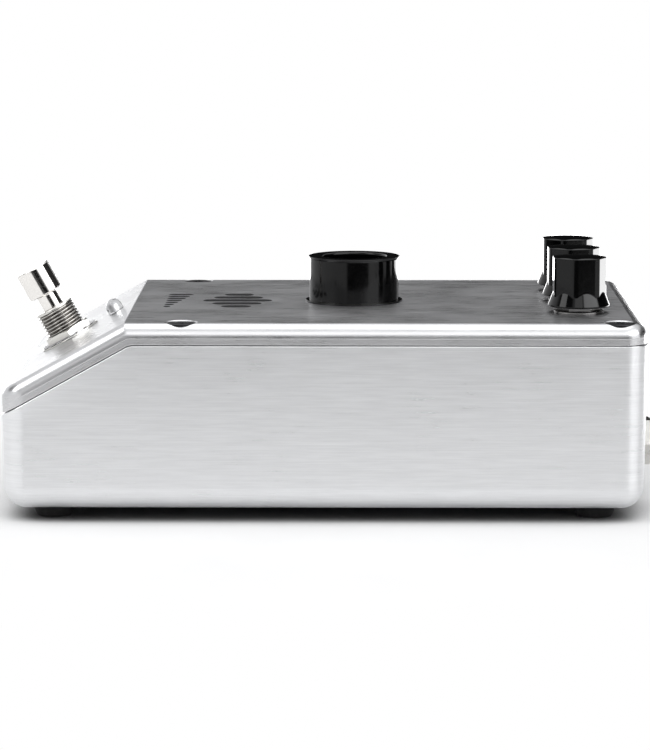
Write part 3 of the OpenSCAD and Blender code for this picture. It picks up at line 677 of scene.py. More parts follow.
def wall_point(st, wall_in, depth):
    """Point on a wall moved in, at a depth under the roof line."""
    if st.crease is not None:
        x, z = crease_point(depth, st.crease)
        return Vector((x, st.ny * (HALF_WIDTH - wall_in), z))
    x, y = st.x - st.nx * wall_in, st.y - st.ny * wall_in
    if st.x < CREASE_X:
        return Vector((x, y, TOP + (x - CREASE_X) * math.tan(SLOPE) - depth / COS))
    return Vector((x, y, TOP - depth))


STATIONS = outline()
RUNS = [st.run for st in STATIONS]


def roll_row(*roll):
    return [roll_point(st, *roll) for st in STATIONS]


def wall_row(wall_in, depth):
    return [wall_point(st, wall_in, depth) for st in STATIONS]


# ---------------------------------------------------------------- lid
LID_IN = 0.22          # the lid's sides stand in from the tub's
# the flat top's and the ramp's materials are shaded and lit copies of one metal: painted shade and
# painted light
LID_MATS = [MAT_LID, MAT_INSIDE, MAT_TOP_PAINTED_SHADE, MAT_BARE, MAT_RAMP_PAINTED_LIGHT]
EDGE, INSIDE, FLAT, BARE, RAMP = range(5)


def add_roof(shape, rim, flat_slot, ramp_slot, up):
    """Closes a rim with a flat polygon, a ramp polygon and the strip of the crease."""
    flat, ramp, strips = [], [], {-1: [], 1: []}
    start = 0
    for st, p in zip(STATIONS[:-1], rim):
        if st.crease is None:
            (ramp if st.x < CREASE_X else flat).append(p)
            continue
        strips[st.ny].append(p)
        if st.crease == 0:
            flat.append(p)
        if st.crease == 1:
            ramp.append(p)
            start = start or len(ramp)
    # the ramp's polygon starts on the +Y side of the crease
    ramp = ramp[start:] + ramp[:start]
    if not up:
        flat.reverse()
        ramp.reverse()
    shape.face(flat, [(p.x, p.y) for p in flat], flat_slot)
    shape.face(ramp, [((p.x - CREASE_X) / COS, p.y) for p in ramp], ramp_slot)
    us = [q * 0.1 for q in range(CREASE_STEPS + 1)]
    shape.grid([strips[-1][::-1], strips[1]], us, [-54, 54], slot=ramp_slot, flip=not up)


def lid_shape():
    shape = Shape()
    steps = 12
    step = ROLL * math.pi / 2 / steps
    rolled = [roll_row(ROLL, LID_IN, 0, 1 - j / steps) for j in range(steps + 1)]
    shape.grid(rolled, RUNS, [j * step for j in range(steps + 1)], slot=EDGE, flip=True)
    # a fine step, then the lip: offset from the rolled edge's foot, depth, texture run
    lip = [(0.0, ROLL + 0.10, 0.1), (0.10, ROLL + 0.26, 0.3), (0.10, SEAM - 0.22, 2.4),
           (0.16, SEAM - 0.07, 2.5), (0.32, SEAM, 2.7)]
    lip_rows = [wall_row(LID_IN + offset, depth) for offset, depth, _ in lip]
    lip_v = step * (steps + 1)
    shape.grid([rolled[-1]] + lip_rows, RUNS, [lip_v] + [lip_v + run for _, _, run in lip],
               slot=EDGE, flip=True)
    # underside of the rim, then the inside
    under = wall_row(WALL, SEAM)
    shape.grid([lip_rows[-1], under], RUNS, [0, 2], slot=INSIDE, flip=True)
    inner = [roll_row(ROLL - WALL, WALL, WALL, j / 6) for j in range(7)]
    shape.grid([under] + inner, RUNS, list(range(8)), slot=INSIDE, flip=True)
    add_roof(shape, rolled[0], FLAT, RAMP, up=True)
    add_roof(shape, inner[-1], INSIDE, INSIDE, up=False)
    return shape


def build_lid():
    lid = make("lid_shell", lid_shape())
    countersink = lathe([(0.0, TOP - 12), (2.15, TOP - 12), (2.15, TOP - 2.72), (4.7, TOP - 0.12),
                         (4.82, TOP), (5.2, TOP + 1.5), (0.0, TOP + 1.5)], 64)
    lamp_hole = lathe([(0.0, -6), (2.6, -6), (2.6, -0.12), (2.75, 0.0), (3.2, 0.5), (0.0, 0.5)], 48)
    cutters = [(countersink, at(x, y)) for x, y in SCREWS]
    cutters.append((plug(12.65, TOP - 6, TOP + 3, 96), at(COLLAR_X, 0)))
    cutters += [(plug(3.6, TOP - 6, TOP + 3, 48), at(KNOB_X, y)) for _, y in KNOBS]
    cutters += [(plug(6.15, -6, 3, 64), SWITCH), (lamp_hole, LAMP)]
    cut_with_slot(lid, cutters, LID_MATS, BARE)
    finish(lid, LID_MATS, "brushed_lid", replaces="top_cover", angle=20)


def build_lid_bosses():
    """Screw bosses under the lid, ending just inside the roof."""
    z0, z1 = TOP - WALL - 2.3, TOP - WALL + 0.02
    profile = ([(2.2, z0), (4.2, z0)] + arc(4.35, z0 + 0.3, 0.3, -90, 0, 3)
               + [(4.65, z1 - 0.6), (4.8, z1 - 0.2), (5.1, z1), (2.2, z1)])
    for i, (x, y) in enumerate(SCREWS):
        piece("lid_boss_%d" % (i + 1), lathe(profile, 48), at(x, y), MAT_INSIDE, "brushed_lid")


build_lid()
build_lid_bosses()

# ---------------------------------------------------------------- tub
SEAM_GAP = 0.2
BOTTOM_ROUND = 7.0     # radius of the bottom edge
DRAFT = 0.55           # how far the walls lean in by the top of the bottom edge
INNER_DRAFT = 0.3


def draft(z):
    seam_z = TOP - SEAM
    return DRAFT * max(0.0, min(1.0, (seam_z - z) / (seam_z - BASE - BOTTOM_ROUND)))


def moved(row, place):
    """A row with each point moved in and to a new height; place(z) gives both."""
    points = []
    for st, p in zip(STATIONS, row):
        inset, z = place(p.z)
        points.append(Vector((p.x - st.nx * inset, p.y - st.ny * inset, z)))
    return points


def tub_shape():
    shape = Shape()
    rim_depth = SEAM + SEAM_GAP
    outer = [wall_row(0.28, rim_depth), wall_row(0.10, rim_depth + 0.05),
             wall_row(0.0, rim_depth + 0.2)]
    top_row = outer[-1]
    round_z = BASE + BOTTOM_ROUND
    wall_steps, round_steps = 8, 12

    for k in range(1, wall_steps + 1):
        def down_wall(z):
            z = z + (round_z - z) * k / wall_steps
            return draft(z), z
        outer.append(moved(top_row, down_wall))
    for j in range(1, round_steps + 1):
        a = math.pi / 2 * j / round_steps
        inset = draft(round_z) + (BOTTOM_ROUND - 0.02) * (1 - math.cos(a))
        z = round_z - BOTTOM_ROUND * math.sin(a)
        outer.append(moved(top_row, lambda _: (inset, z)))
    levels = [0.0] * (wall_steps + 3) + [0.6 * j for j in range(1, round_steps + 1)]
    shape.grid(outer, RUNS, levels, flip=True, level=True)
    shape.face(list(reversed(outer[-1][:-1])))

    # rim face and inside
    inner = [wall_row(WALL, rim_depth)]
    top_row = inner[0]
    radius = BOTTOM_ROUND - WALL
    floor_round_z = BASE + WALL + radius
    for k in range(1, 5):
        inner.append(moved(top_row, lambda z: (INNER_DRAFT * k / 4,
                                               z + (floor_round_z - z) * k / 4)))
    for j in range(1, 9):
        a = math.pi / 2 * j / 8
        inset = INNER_DRAFT + (radius - 0.35) * (1 - math.cos(a))
        z = floor_round_z - radius * math.sin(a)
        inner.append(moved(top_row, lambda _: (inset, z)))
    shape.grid([outer[0], inner[0]], RUNS, [0, 2], slot=INSIDE)
    shape.grid(inner, RUNS, list(range(len(inner))), slot=INSIDE)
    shape.face(inner[-1][:-1], slot=INSIDE)
    return shape


def build_tub():
    tub = make("tub_shell", tub_shape())
    board_hole = lathe([(0.0, BASE - 1), (3.0, BASE - 1), (3.0, BASE + 1.4), (1.6, BASE + 1.4),
                        (1.6, BASE + 6), (0.0, BASE + 6)], 40)
    cutters = [(plug(4.85, -6, 6, 64), at(HIGH_X, y, JACK_Z) @ Z_TO_X) for y in JACK_YS]
    cutters.append((plug(5.45, -6, 6, 64), at(HIGH_X, 0, JACK_Z) @ Z_TO_X))
    cutters += [(plug(1.55, -2, BASE + 6, 32), at(x, y)) for x, y in FEET]
    cutters += [(board_hole, at(x, y)) for x, y in BOARD_HOLES]
    mats = [MAT_SIDE, MAT_INSIDE]
    cut_with_slot(tub, cutters, mats, INSIDE)
    finish(tub, mats, "brushed_case", replaces="base_tub", angle=24)


def build_tub_posts():
    """Screw posts, widest near the floor and stepped in above the seam."""
    z0, z1 = BASE + WALL + 1.2, TOP - WALL - 2.42
    step_z = TOP - SEAM - 1.5
    profile = [(2.05, z0), (2.6, z0), (3.4, z0 + 0.9), (4.1, z0 + 2.2), (4.45, z0 + 3.6),
               (4.45, step_z), (3.15, step_z + 1.3), (3.1, z1 - 0.3), (2.9, z1), (2.4, z1),
               (2.05, z1 - 0.35)]
    for i, (x, y) in enumerate(SCREWS):
        piece("tub_post_%d" % (i + 1), lathe(profile, 48), at(x, y), MAT_INSIDE, "brushed_case")


build_tub()
build_tub_posts()


# ---------------------------------------------------------------- threads and screws
def thread(root, crest, pitch, z0, z1, n, runout=0.6, bore=None):
    """Rod, or bushing with a bore, whose radius follows a helix and fades over the runout."""
    shape = Shape()
    count = max(2, int(round((z1 - z0) / pitch * 10)))
    zs = [z0 + (z1 - z0) * j / count for j in range(count + 1)]
    angles = turn(n)

    def radius(a, z):
        phase = ((z / pitch) - a / (2 * math.pi)) % 1.0
        tooth = 1 - abs(phase * 2 - 1)
        tooth = min(1.0, max(0.0, (tooth - 0.10) / 0.66))
        fade = max(0.0, min(1.0, (z - z0) / runout, (z1 - z) / runout))
        return root + (crest - root) * min(tooth, fade)

    rows = [ring(angles, lambda a: radius(a, z), z) for z in zs]
    us = list(range(n + 1))
    shape.grid(rows, us, zs)
    if bore is None:
        shape.face(list(reversed(rows[0][:-1])))
        shape.face(rows[-1][:-1])
    else:
        inside = [ring(angles, bore, zs[-1]), ring(angles, bore, zs[0])]
        shape.grid([rows[-1]] + inside + [rows[0]], us, [0, 1, 2, 3])
    return shape


def cross_recess(top_z, arm, width, deep):
    """Cutters of a cross recess: two crossed wedges and a cone."""
    signs = ((-1, -1), (1, -1), (1, 1), (-1, 1))
    shapes = []
    for angle in (0, math.pi / 2):
        spin = Matrix.Rotation(angle, 4, "Z")

        def painted_corner_shade(x, y, z):
            return [spin @ Vector((sx * x, sy * y, z)) for sx, sy in signs]

        top = painted_corner_shade(arm, width * 1.12, top_z)
        bottom = painted_corner_shade(arm * 0.42, width * 0.55, top_z - deep)
        wedge = Shape()
        wedge.face(top)
        wedge.face(list(reversed(bottom)))
        for i in range(4):
            j = (i + 1) % 4
            wedge.face([bottom[i], bottom[j], top[j], top[i]])
        shapes.append(wedge)
    shapes.append(lathe([(0.0, top_z - deep - 0.35), (0.42, top_z - deep), (0.86, top_z),
                         (0.0, top_z)], 24))
    return shapes


def screw_head(name, profile, place, n, **recess):
    head = make(name, lathe(profile, n), place)
    return cut(head, [(shape, place) for shape in cross_recess(**recess)])


def first(i, node):
    """The CAD node that a set's first piece stands for."""
    return node if i == 0 else None


def build_cover_screws():
    head_z = TOP - 0.28
    profile = ([(0.0, TOP - 3.4), (1.95, TOP - 3.4), (2.0, TOP - 2.75), (4.30, head_z - 0.10)]
               + arc(4.22, head_z - 0.07, 0.10, -20, 80, 4)
               + [(3.7, head_z + 0.05), (2.0, head_z + 0.08), (0.0, head_z + 0.09)])
    for i, ((x, y), angle) in enumerate(zip(SCREWS, (0.35, 1.02, 0.62, 0.15))):
        place = at(x, y) @ Matrix.Rotation(angle, 4, "Z")
        head = screw_head("cover_screw_%d" % (i + 1), profile, place, 64,
                          top_z=head_z + 0.35, arm=2.15, width=0.48, deep=1.7)
        finish(head, MAT_SCREW, "black_screw", replaces=first(i, "cover_screws"))
        piece("cover_screw_thread_%d" % (i + 1), thread(1.55, 2.0, 0.7, TOP - 20, TOP - 3.35, 24),
              place, MAT_SCREW, "black_screw", angle=50)


def build_feet():
    """Rubber feet, each with a pan head screw recessed in its underside."""
    foot = ([(1.7, 1.6), (3.2, 1.6), (3.4, 1.4), (3.4, 0.35)] + arc(3.75, 0.35, 0.35, 180, 270, 4)
            + [(4.55, 0.0), (4.75, 0.0)] + arc(4.75, 0.5, 0.5, -90, -15, 5)
            + [(5.6, 1.4), (6.25, 3.05)] + arc(6.15, 3.2, 0.3, 0, 90, 4)[1:]
            + [(5.6, BASE - 0.02), (1.7, BASE - 0.02)])
    pan_head = ([(0.0, -0.02), (2.85, -0.02), (2.88, 0.1)] + arc(2.2, 0.25, 0.68, 0, 60, 6)
                + [(1.4, 0.95), (0.0, 1.02)])
    for i, (x, y) in enumerate(FEET):
        place = at(x, y)
        piece("foot_%d" % (i + 1), lathe(foot, 80), place, MAT_RUBBER, "foot_rubber",
              replaces=first(i, "rubber_feet"))
        facing_down = Matrix.Rotation(math.pi, 4, "X") @ Matrix.Rotation(0.4 + i, 4, "Z")
        head = screw_head("foot_screw_%d" % (i + 1), pan_head, at(x, y, 1.55) @ facing_down, 48,
                          top_z=1.3, arm=1.5, width=0.36, deep=1.15)
        finish(head, MAT_ZINC, "zinc_screw", replaces=first(i, "foot_screws"))
        piece("foot_screw_thread_%d" % (i + 1), thread(1.2, 1.5, 0.5, 1.5, 7.6, 24), place,
              MAT_ZINC, "zinc_screw", angle=50)


build_cover_screws()
build_feet()


# ---------------------------------------------------------------- tube collar
def build_collar():
    place = at(COLLAR_X, 0)
    rim = TOP + 13.8
    profile = (
        [(9.7, COLLAR_BOTTOM), (9.7, rim - 0.62)] + arc(10.34, rim - 0.64, 0.64, 180, 100, 5)
        + [(10.6, rim - 0.005), (13.6, rim)] + arc(13.74, rim - 0.15, 0.15, 90, -40, 5)
        + [(13.72, rim - 0.38), (13.61, rim - 0.62), (13.59, rim - 0.9), (13.6, rim - 2.0),
           (13.6, TOP + 0.62), (13.64, TOP + 0.54), (13.75, TOP + 0.52)]
        + arc(14.66, TOP + 0.38, 0.13, 90, -20, 4)
        + [(14.76, TOP + 0.10), (14.68, TOP + 0.02), (13.0, TOP + 0.02), (12.5, TOP + 0.02),
           (12.5, COLLAR_BOTTOM)])
    piece("tube_collar_moulding", lathe(profile, 160), place, MAT_COLLAR, "collar_plastic",
          replaces="tube_collar", angle=40)
    # threaded neck below the lid
    neck = thread(11.9, 12.5, 1.5, COLLAR_BOTTOM, TOP - WALL - 0.05, 96, bore=11.2)
    piece("tube_collar_thread", neck, place, MAT_COLLAR, "collar_plastic", angle=50)


build_collar()

# ---------------------------------------------------------------- knobs
KNOB_FACES = 7
KNOB_R = 8.1           # over the ribs
KNOB_FLAT = 7.58       # to the middle of a face
KNOB_SKIRT = 9.15      # foot of the conical skirt
KNOB_TURN = 24.8       # degrees from a face's middle to +X
KNOB_RIM_Z = 14.36     # where the rounded rim starts, over the skirt's foot
KNOB_RIM = 0.22        # radius of the rim


def smooth_min(a, b, k):
    h = max(0.0, min(1.0, 0.5 + 0.5 * (a - b) / k))
    return a * (1 - h) + b * h - k * h * (1 - h)


def knob_radius(phi, z):
    """Flat faces between narrow ribs, over a conical skirt; z is from the skirt's foot."""
    step = 360.0 / KNOB_FACES
    off_face = (math.degrees(phi) + KNOB_TURN) % step
    off_face = math.radians(min(off_face, step - off_face))
    grip = smooth_min(KNOB_R, KNOB_FLAT / math.cos(off_face), 0.05)
    cone = KNOB_SKIRT
    if z > 0.45:
        cone -= (z - 0.45) * (KNOB_SKIRT - KNOB_FLAT) / 3.95
    return -smooth_min(-grip, -cone, 0.06)


def knob_shape():
    shape = Shape()
    n = 252
    angles = turn(n)
    us = [i * 0.25 for i in range(n + 1)]

    def outside(z_outline, z, inset):
        return ring(angles, lambda a: knob_radius(a, z_outline) - inset, z)

    rows = []
    levels = ([0.0, 0.05, 0.15, 0.3, 0.4, 0.5] + [0.62 + 0.125 * i for i in range(32)]
              + [4.9, 6.5, 8.5, 10.5, 12.5, 13.6, 14.15, KNOB_RIM_Z])
    for z in levels:
        rows.append(outside(z, z, 0.12 * (1 - z / 0.15) ** 2 if z < 0.15 else 0.0))
    vs = list(levels)
    for j in range(1, 6):
        t = math.pi / 2 * j / 5
        z = KNOB_RIM_Z + KNOB_RIM * math.sin(t)
        rows.append(outside(KNOB_RIM_Z, z, KNOB_RIM * (1 - math.cos(t))))
        vs.append(z)
    # slightly domed top, in shrinking copies of the outline
    for j, scale in enumerate((0.97, 0.92, 0.85, 0.76, 0.64, 0.50, 0.34, 0.16)):
        row = []
        for a in angles:
            r = (knob_radius(a, KNOB_RIM_Z) - KNOB_RIM) * scale
            z = KNOB_RIM_Z + KNOB_RIM + 0.52 * (1 - (r / 7.95) ** 2)
            row.append(Vector((r * math.cos(a), r * math.sin(a), z)))
        rows.append(row)
        vs.append(15 + j)
    shape.grid(rows, us, vs)
    shape.face(rows[-1][:-1])

    # underside: foot of the skirt, hollow, then the boss and its bore as (radius, z)
    hollow = [(6.9, 3.6), (5.2, 9.0), (4.75, 9.6), (4.45, 9.4), (4.4, 0.9), (4.2, 0.7),
              (3.3, 0.7), (3.06, 0.95), (3.06, 12.2)]
    under = [rows[0], outside(0, 0.0, 0.45), outside(0, 0.05, 1.0)]
    under += [ring(angles, r, z) for r, z in hollow]
    shape.grid(under, us, list(range(len(under))), flip=True)
    shape.face(under[-1][:-1])
    return shape


def build_knobs():
    shape = knob_shape()
    for name, y in KNOBS:
        place = at(KNOB_X, y, TOP + 1.9)
        knob = make(name + "_knob_moulding", shape, place)
        # hole in the +X side
        cut(knob, [(plug(1.55, 2.6, 12, 32), place @ at(0, 0, 7.6) @ Z_TO_X)])
        finish(knob, MAT_KNOB, "knob_plastic", replaces=name + "_knob", body=name + "_control",
               angle=38)


build_knobs()


# ---------------------------------------------------------------- nuts and washers
def hex_nut(across_flats, bore, height, z, start=0.0):
    """Hex nut with its upper corners turned to a cone and a chamfered bore."""
    shape = Shape()
    n = 96
    angles = turn(n, start)
    half = across_flats / 2
    top = z + height

    def radius(a, level):
        off_flat = (a - start) % (math.pi / 3) - math.pi / 6
        cone = half - 0.10 + (top - level) / math.tan(math.radians(28))
        return min(half / math.cos(off_flat), cone)

    levels = [z, z + 0.12, z + 0.3, z + 0.5, z + height / 2,
              top - 0.6, top - 0.4, top - 0.22, top - 0.1, top]
    rows = [ring(angles, lambda a: radius(a, level), level) for level in levels]
    us = [i * 0.5 for i in range(n + 1)]
    shape.grid(rows, us, levels)
    bore_profile = [(bore + 0.35, top), (bore, top - 0.3), (bore, z + 0.3), (bore + 0.35, z)]
    bore_rows = [ring(angles, r, level) for r, level in bore_profile]
    shape.grid([rows[-1]] + bore_rows + [rows[0]], us, [0, 1, 2, 3, 4, 5])
    return shape


def washer(outer, inner, z0, z1):
    e = 0.06           # edge chamfer
    return lathe([(inner, z0 + e), (inner + e, z0), (outer - e, z0), (outer, z0 + e),
                  (outer, z1 - e * 1.3), (outer - e * 1.3, z1), (inner + e, z1), (inner, z1 - e)])


def toothed_washer(outer, inner, z0, z1, teeth=15):
    """External-tooth lock washer, each tooth twisted a little."""
    shape = Shape()
    per_tooth = 12
    middle = (z0 + z1) / 2
    half = (z1 - z0) * 0.5 * 0.62
    # outer top, outer bottom, inner top, inner bottom
    top, bottom, inner_top, inner_bottom = [], [], [], []
    for i, a in enumerate(turn(teeth * per_tooth)):
        phase = (i % per_tooth) / per_tooth
        tooth = 0.22 < phase < 0.84
        r = outer if tooth else outer - 1.35
        twist = (phase - 0.53) * 0.34 if tooth else 0.0
        top += ring([a], r, middle + half + twist)
        bottom += ring([a], r, middle - half + twist)
        inner_top += ring([a], inner, middle + half)
        inner_bottom += ring([a], inner, middle - half)
    us = [i * 0.2 for i in range(len(top))]
    shape.grid([inner_bottom, bottom, top, inner_top, inner_bottom], us, [0, 1, 2, 3, 4])
    return shape


# the pot washers and nuts take the darker nickel: painted shade of the knobs' skirts over them
for i, (_, y) in enumerate(KNOBS):
    piece("pot_washer_%d" % (i + 1), washer(7.35, 3.65, TOP + 0.02, TOP + 0.62), at(KNOB_X, y),
          MAT_NICKEL_PAINTED_SHADE, "nickel", replaces=first(i, "pot_washers"))
    piece("pot_nut_%d" % (i + 1), hex_nut(11, 3.62, 2.1, z=TOP + 0.64), at(KNOB_X, y),
          MAT_NICKEL_PAINTED_SHADE, "nickel", replaces=first(i, "pot_nuts"), angle=25)

# ---------------------------------------------------------------- stomp switch, in the ramp's frame
BUSHING_TOP = 10.5
CAP_BOTTOM, CAP_TOP, CAP_R = 15.2, 24.0, 5.35


def build_switch_mount():
    piece("switch_flat_washer", washer(9.5, 6.2, 0.02, 0.45), SWITCH, MAT_NICKEL, "nickel",
          replaces="footswitch_flat_washer")
    piece("switch_lock_washer", toothed_washer(9.1, 6.25, 0.47, 0.85), SWITCH, MAT_ZINC, "nickel",
          replaces="footswitch_lock_washer", angle=30)
    piece("switch_hex_nut", hex_nut(14, 6.1, 2.03, z=0.87, start=math.radians(38)), SWITCH,
          MAT_NICKEL, "nickel", replaces="footswitch_nut", angle=25)
    bushing = thread(5.42, 6.04, 1.0, -7.0, BUSHING_TOP - 0.75, 96, runout=0.3, bore=3.5)
    piece("switch_bushing_thread", bushing, SWITCH, MAT_THREAD, "nickel",
          replaces="footswitch_body", angle=60)
    top = BUSHING_TOP
    rim = ([(3.42, top - 2.5), (3.42, top - 0.3), (3.7, top), (5.5, top)]
           + arc(5.5, top - 0.38, 0.38, 90, 0, 5)
           + [(5.9, top - 0.55), (5.86, top - 0.75), (5.45, top - 1.05), (3.6, top - 2.5)])
    piece("switch_bushing_rim", lathe(rim, 96), SWITCH, MAT_NICKEL, "nickel")


def build_switch_body():
    """Moulded box under the ramp, a metal frame over it and rivets at the corners."""
    box = make("switch_body_box", rounded_box(-8.5, 8.5, -8.75, 8.75, -17.7, -6.1, 1.2, 0.4), SWITCH)
    stem_room = lathe([(0.0, -14.6), (4.8, -14.6), (4.8, -7.4), (3.4, -7.4), (3.4, 0.0),
                       (0.0, 0.0)], 48)
    cut(box, [(stem_room, SWITCH)])
    finish(box, MAT_SWITCH, "switch_body")
    plate = make("switch_body_frame", rounded_box(-8.7, 8.7, -8.95, 8.95, -6.08, -5.0, 1.4, 0.12),
                 SWITCH)
    cut(plate, [(plug(6.05, -8, 0.0, 64), SWITCH)])
    finish(plate, MAT_NICKEL, "nickel")
    rivet = lathe([(0.0, -5.02), (0.9, -5.02), (0.85, -4.8), (0.5, -4.62), (0.0, -4.58)], 24)
    rivets = Shape()
    for x in (-6.9, 6.9):
        for y in (-7.1, 7.1):
            rivets.add(rivet, at(x, y))
    piece("switch_body_rivets", rivets, SWITCH, MAT_NICKEL, "nickel")


def build_plunger():
    profile = (
        [(0.0, -7.9), (4.3, -7.9), (4.35, -7.85), (4.35, -7.55), (4.3, -7.5), (3.2, -7.5),
         (3.2, CAP_BOTTOM - 0.6)]
        + arc(3.8, CAP_BOTTOM - 0.6, 0.6, 180, 90, 4) + [(CAP_R - 0.5, CAP_BOTTOM)]
        + arc(CAP_R - 0.32, CAP_BOTTOM + 0.32, 0.32, -80, 0, 5) + [(CAP_R, CAP_TOP - 0.7)]
        + arc(CAP_R - 0.62, CAP_TOP - 0.62, 0.62, 0, 82, 8)
        + [(CAP_R - 1.2, CAP_TOP), (CAP_R - 2.4, CAP_TOP - 0.02), (0.0, CAP_TOP - 0.03)])
    piece("stomp_cap_and_stem", lathe(profile, 128), SWITCH, MAT_CHROME, "bright_nickel",
          replaces="footswitch_plunger", body="stomp_button", angle=45)


build_switch_mount()
build_switch_body()
build_plunger()


# ---------------------------------------------------------------- indicator lamp
def build_lamp():
    r = 2.5
    profile = ([(0.0, -5.4), (2.9, -5.4), (2.9, -4.4), (2.52, -4.3), (r, -4.1), (r, 1.5)]
               + arc(0.0, 1.5, r, 4, 88, 14) + [(0.0, 4.0)])
    piece("indicator_lens", lathe(profile, 72), LAMP, MAT_LED, "clear_lens",
          replaces="indicator_led", angle=50)

    def block(x0, x1, half, z0, z1, bevel):
        return prism([(x0, -half), (x1, -half), (x1, half), (x0, half)], z0, z1, bevel)

    # lead frame inside the clear body: two posts, a cup and a block in the cup
    leads = block(-1.15, -0.35, 0.3, -4.6, -1.3, 0.05)
    leads.add(block(0.25, 1.55, 0.3, -4.6, -1.7, 0.05))
    cup = lathe([(0.0, -1.75), (0.55, -1.75), (0.95, -1.15), (0.95, -1.0), (0.8, -1.0),
                 (0.42, -1.45), (0.0, -1.45)], 32)
    leads.add(cup, at(0.75, 0))
    leads.add(block(0.55, 0.95, 0.2, -1.45, -1.2, 0.03))
    piece("indicator_lead_frame", leads, LAMP @ at(0, 0, 0.7), MAT_CHROME, "bright_nickel")


build_lamp()


# ---------------------------------------------------------------- jacks in the +X wall
def build_jacks():
    mouth = ([(3.25, -26.0), (3.25, 3.6)] + arc(3.65, 3.75, 0.42, 180, 95, 4) + [(4.1, 4.2)]
             + arc(4.2, 3.95, 0.25, 90, 5, 4) + [(4.45, 3.4), (4.2, 3.2), (4.2, -26.0)])
    for i, y in enumerate(JACK_YS):
        place = at(HIGH_X, y, JACK_Z) @ Z_TO_X
        piece("jack_washer_%d" % (i + 1), washer(7.2, 4.95, 0.02, 0.72), place,
              MAT_NICKEL, "nickel", replaces=first(i, "jack_washers"))
        piece("jack_nut_%d" % (i + 1), hex_nut(13.2, 4.8, 2.3, z=0.74, start=math.pi / 2), place,
              MAT_NICKEL, "nickel", replaces=first(i, "jack_nuts"), angle=25)
        bushing = thread(4.35, 4.75, 0.9, -3.0, 3.55, 72, runout=0.5, bore=3.9)
        piece("jack_bushing_thread_%d" % (i + 1), bushing, place, MAT_JACK, "jack_plastic",
              angle=60)
        piece("jack_bushing_mouth_%d" % (i + 1), lathe(mouth, 72), place,
              MAT_JACK, "jack_plastic")


build_jacks()


# ---------------------------------------------------------------- printed bars on the flat top
def print_bars(name, bars):
    """Thin bars with round ends, from (x0, x1, middle y, half width)."""
    marks = Shape()
    for x0, x1, y, half in bars:
        r = min(x1 - x0, (y + half) - (y - half)) / 2 * 0.98
        marks.add(rounded_box(x0, x1, y - half, y + half, TOP + 0.004, TOP + 0.03, r))
    piece(name, marks, None, MAT_PRINT, "collar_plastic", weighted=False)


BARS_X, BARS_Y, BARS_PITCH = COLLAR_X - 35.5, -0.5, 7.3
RISING_X, RISING_PITCH = COLLAR_X - 53.5 - 3.8, 5.0
print_bars("printed_level_bars", [
    (BARS_X - length / 2, BARS_X + length / 2, BARS_Y + (i - 2) * BARS_PITCH, 2.6)
    for i, length in enumerate((9.0, 15.0, 21.0, 15.0, 9.0))])
print_bars("printed_rising_bars", [
    (RISING_X, RISING_X + 1.9 + 0.95 * i, BARS_Y + (i - 3) * RISING_PITCH, 1.5)
    for i in range(7)])


# ---------------------------------------------------------------- finishes of the kept CAD pieces
def wire(name, color):
    return plastic(name, color, rough=0.38, grain=1500, bump=1.2, dust=0.05)


FINISHES = [
    (MAT_ZINC, ["collar_locknut", "driver_cap_screws", "board_screws"]),
    (MAT_RUBBER, ["driver_gasket"]),
    (MAT_STEEL, ["driver_pole_piece", "driver_rear_plate", "footswitch_spring"]),
    (MAT_BRASS, ["driver_terminals", "pot_pins", "footswitch_terminals", "jack_tabs",
                 "dc_jack_pin"]),
    (MAT_NICKEL, ["footswitch_inner_nut", "dc_jack_nut"]),
    (MAT_JACK, ["instrument_jacks", "dc_jack"]),
    (MAT_ALU, [name + "_shaft" for name, _ in KNOBS]),
    (MAT_SCREW, [name + "_set_screw" for name, _ in KNOBS]),
    (circuit_board(), ["amp_board", "control_board", "led_board", "jack_board"]),
    (plastic("ferrite_magnet", (0.035, 0.035, 0.038), rough=0.55, grain=900, bump=4,
             mottled=0.5, dust=0.15, wear=0.6), ["driver_magnet"]),
    (metal("copper_winding", (0.80, 0.38, 0.20), rough=0.24, grain=3000, amount=0.2, bump=2),
     ["driver_voice_coil"]),
    (plastic("diaphragm_amber", (0.32, 0.14, 0.03), rough=0.22, grain=600, coat=0.4, sub=0.2),
     ["driver_diaphragm"]),
    (plastic("black_enamel_cap", (0.014, 0.014, 0.015), rough=0.28, grain=500, bump=2.5,
             coat=0.5), ["driver_rear_cap"]),
    (wire("wire_red", (0.38, 0.015, 0.012)), ["driver_wires"]),
    (plastic("nylon_standoff", (0.62, 0.60, 0.55), rough=0.42, grain=700, sub=0.3, dust=0.05),
     ["board_standoffs"]),
    (metal("heatsink_anodised", (0.06, 0.06, 0.065), rough=0.38, grain=1500, amount=0.25,
           streak_axis=2), ["amp_heatsink"]),
    (plastic("chip_epoxy", (0.022, 0.022, 0.023), rough=0.52, grain=2200, bump=3, dust=0.1),
     ["amp_chip"]),
    (plastic("capacitor_sleeve", (0.012, 0.02, 0.07), rough=0.26, grain=400, coat=0.4),
     ["amp_capacitors"]),
    (metal("pot_can_plated", (0.66, 0.65, 0.62), rough=0.28, amount=0.1, streak_axis=0),
     ["potentiometers"]),
    (plastic("ribbon_grey", (0.30, 0.30, 0.31), rough=0.42, grain=500, bump=2),
     ["control_ribbon"]),
    (wire("wire_blue", (0.015, 0.05, 0.30)), ["footswitch_wires"]),
    (plastic("lamp_holder_black", (0.02, 0.02, 0.021), rough=0.45, grain=1200, bump=1.5),
     ["led_holder"]),
]
for mat, names in FINISHES:
    for name in names:
        materials = cad_nodes[name].data.materials
        materials.clear()
        materials.append(mat)


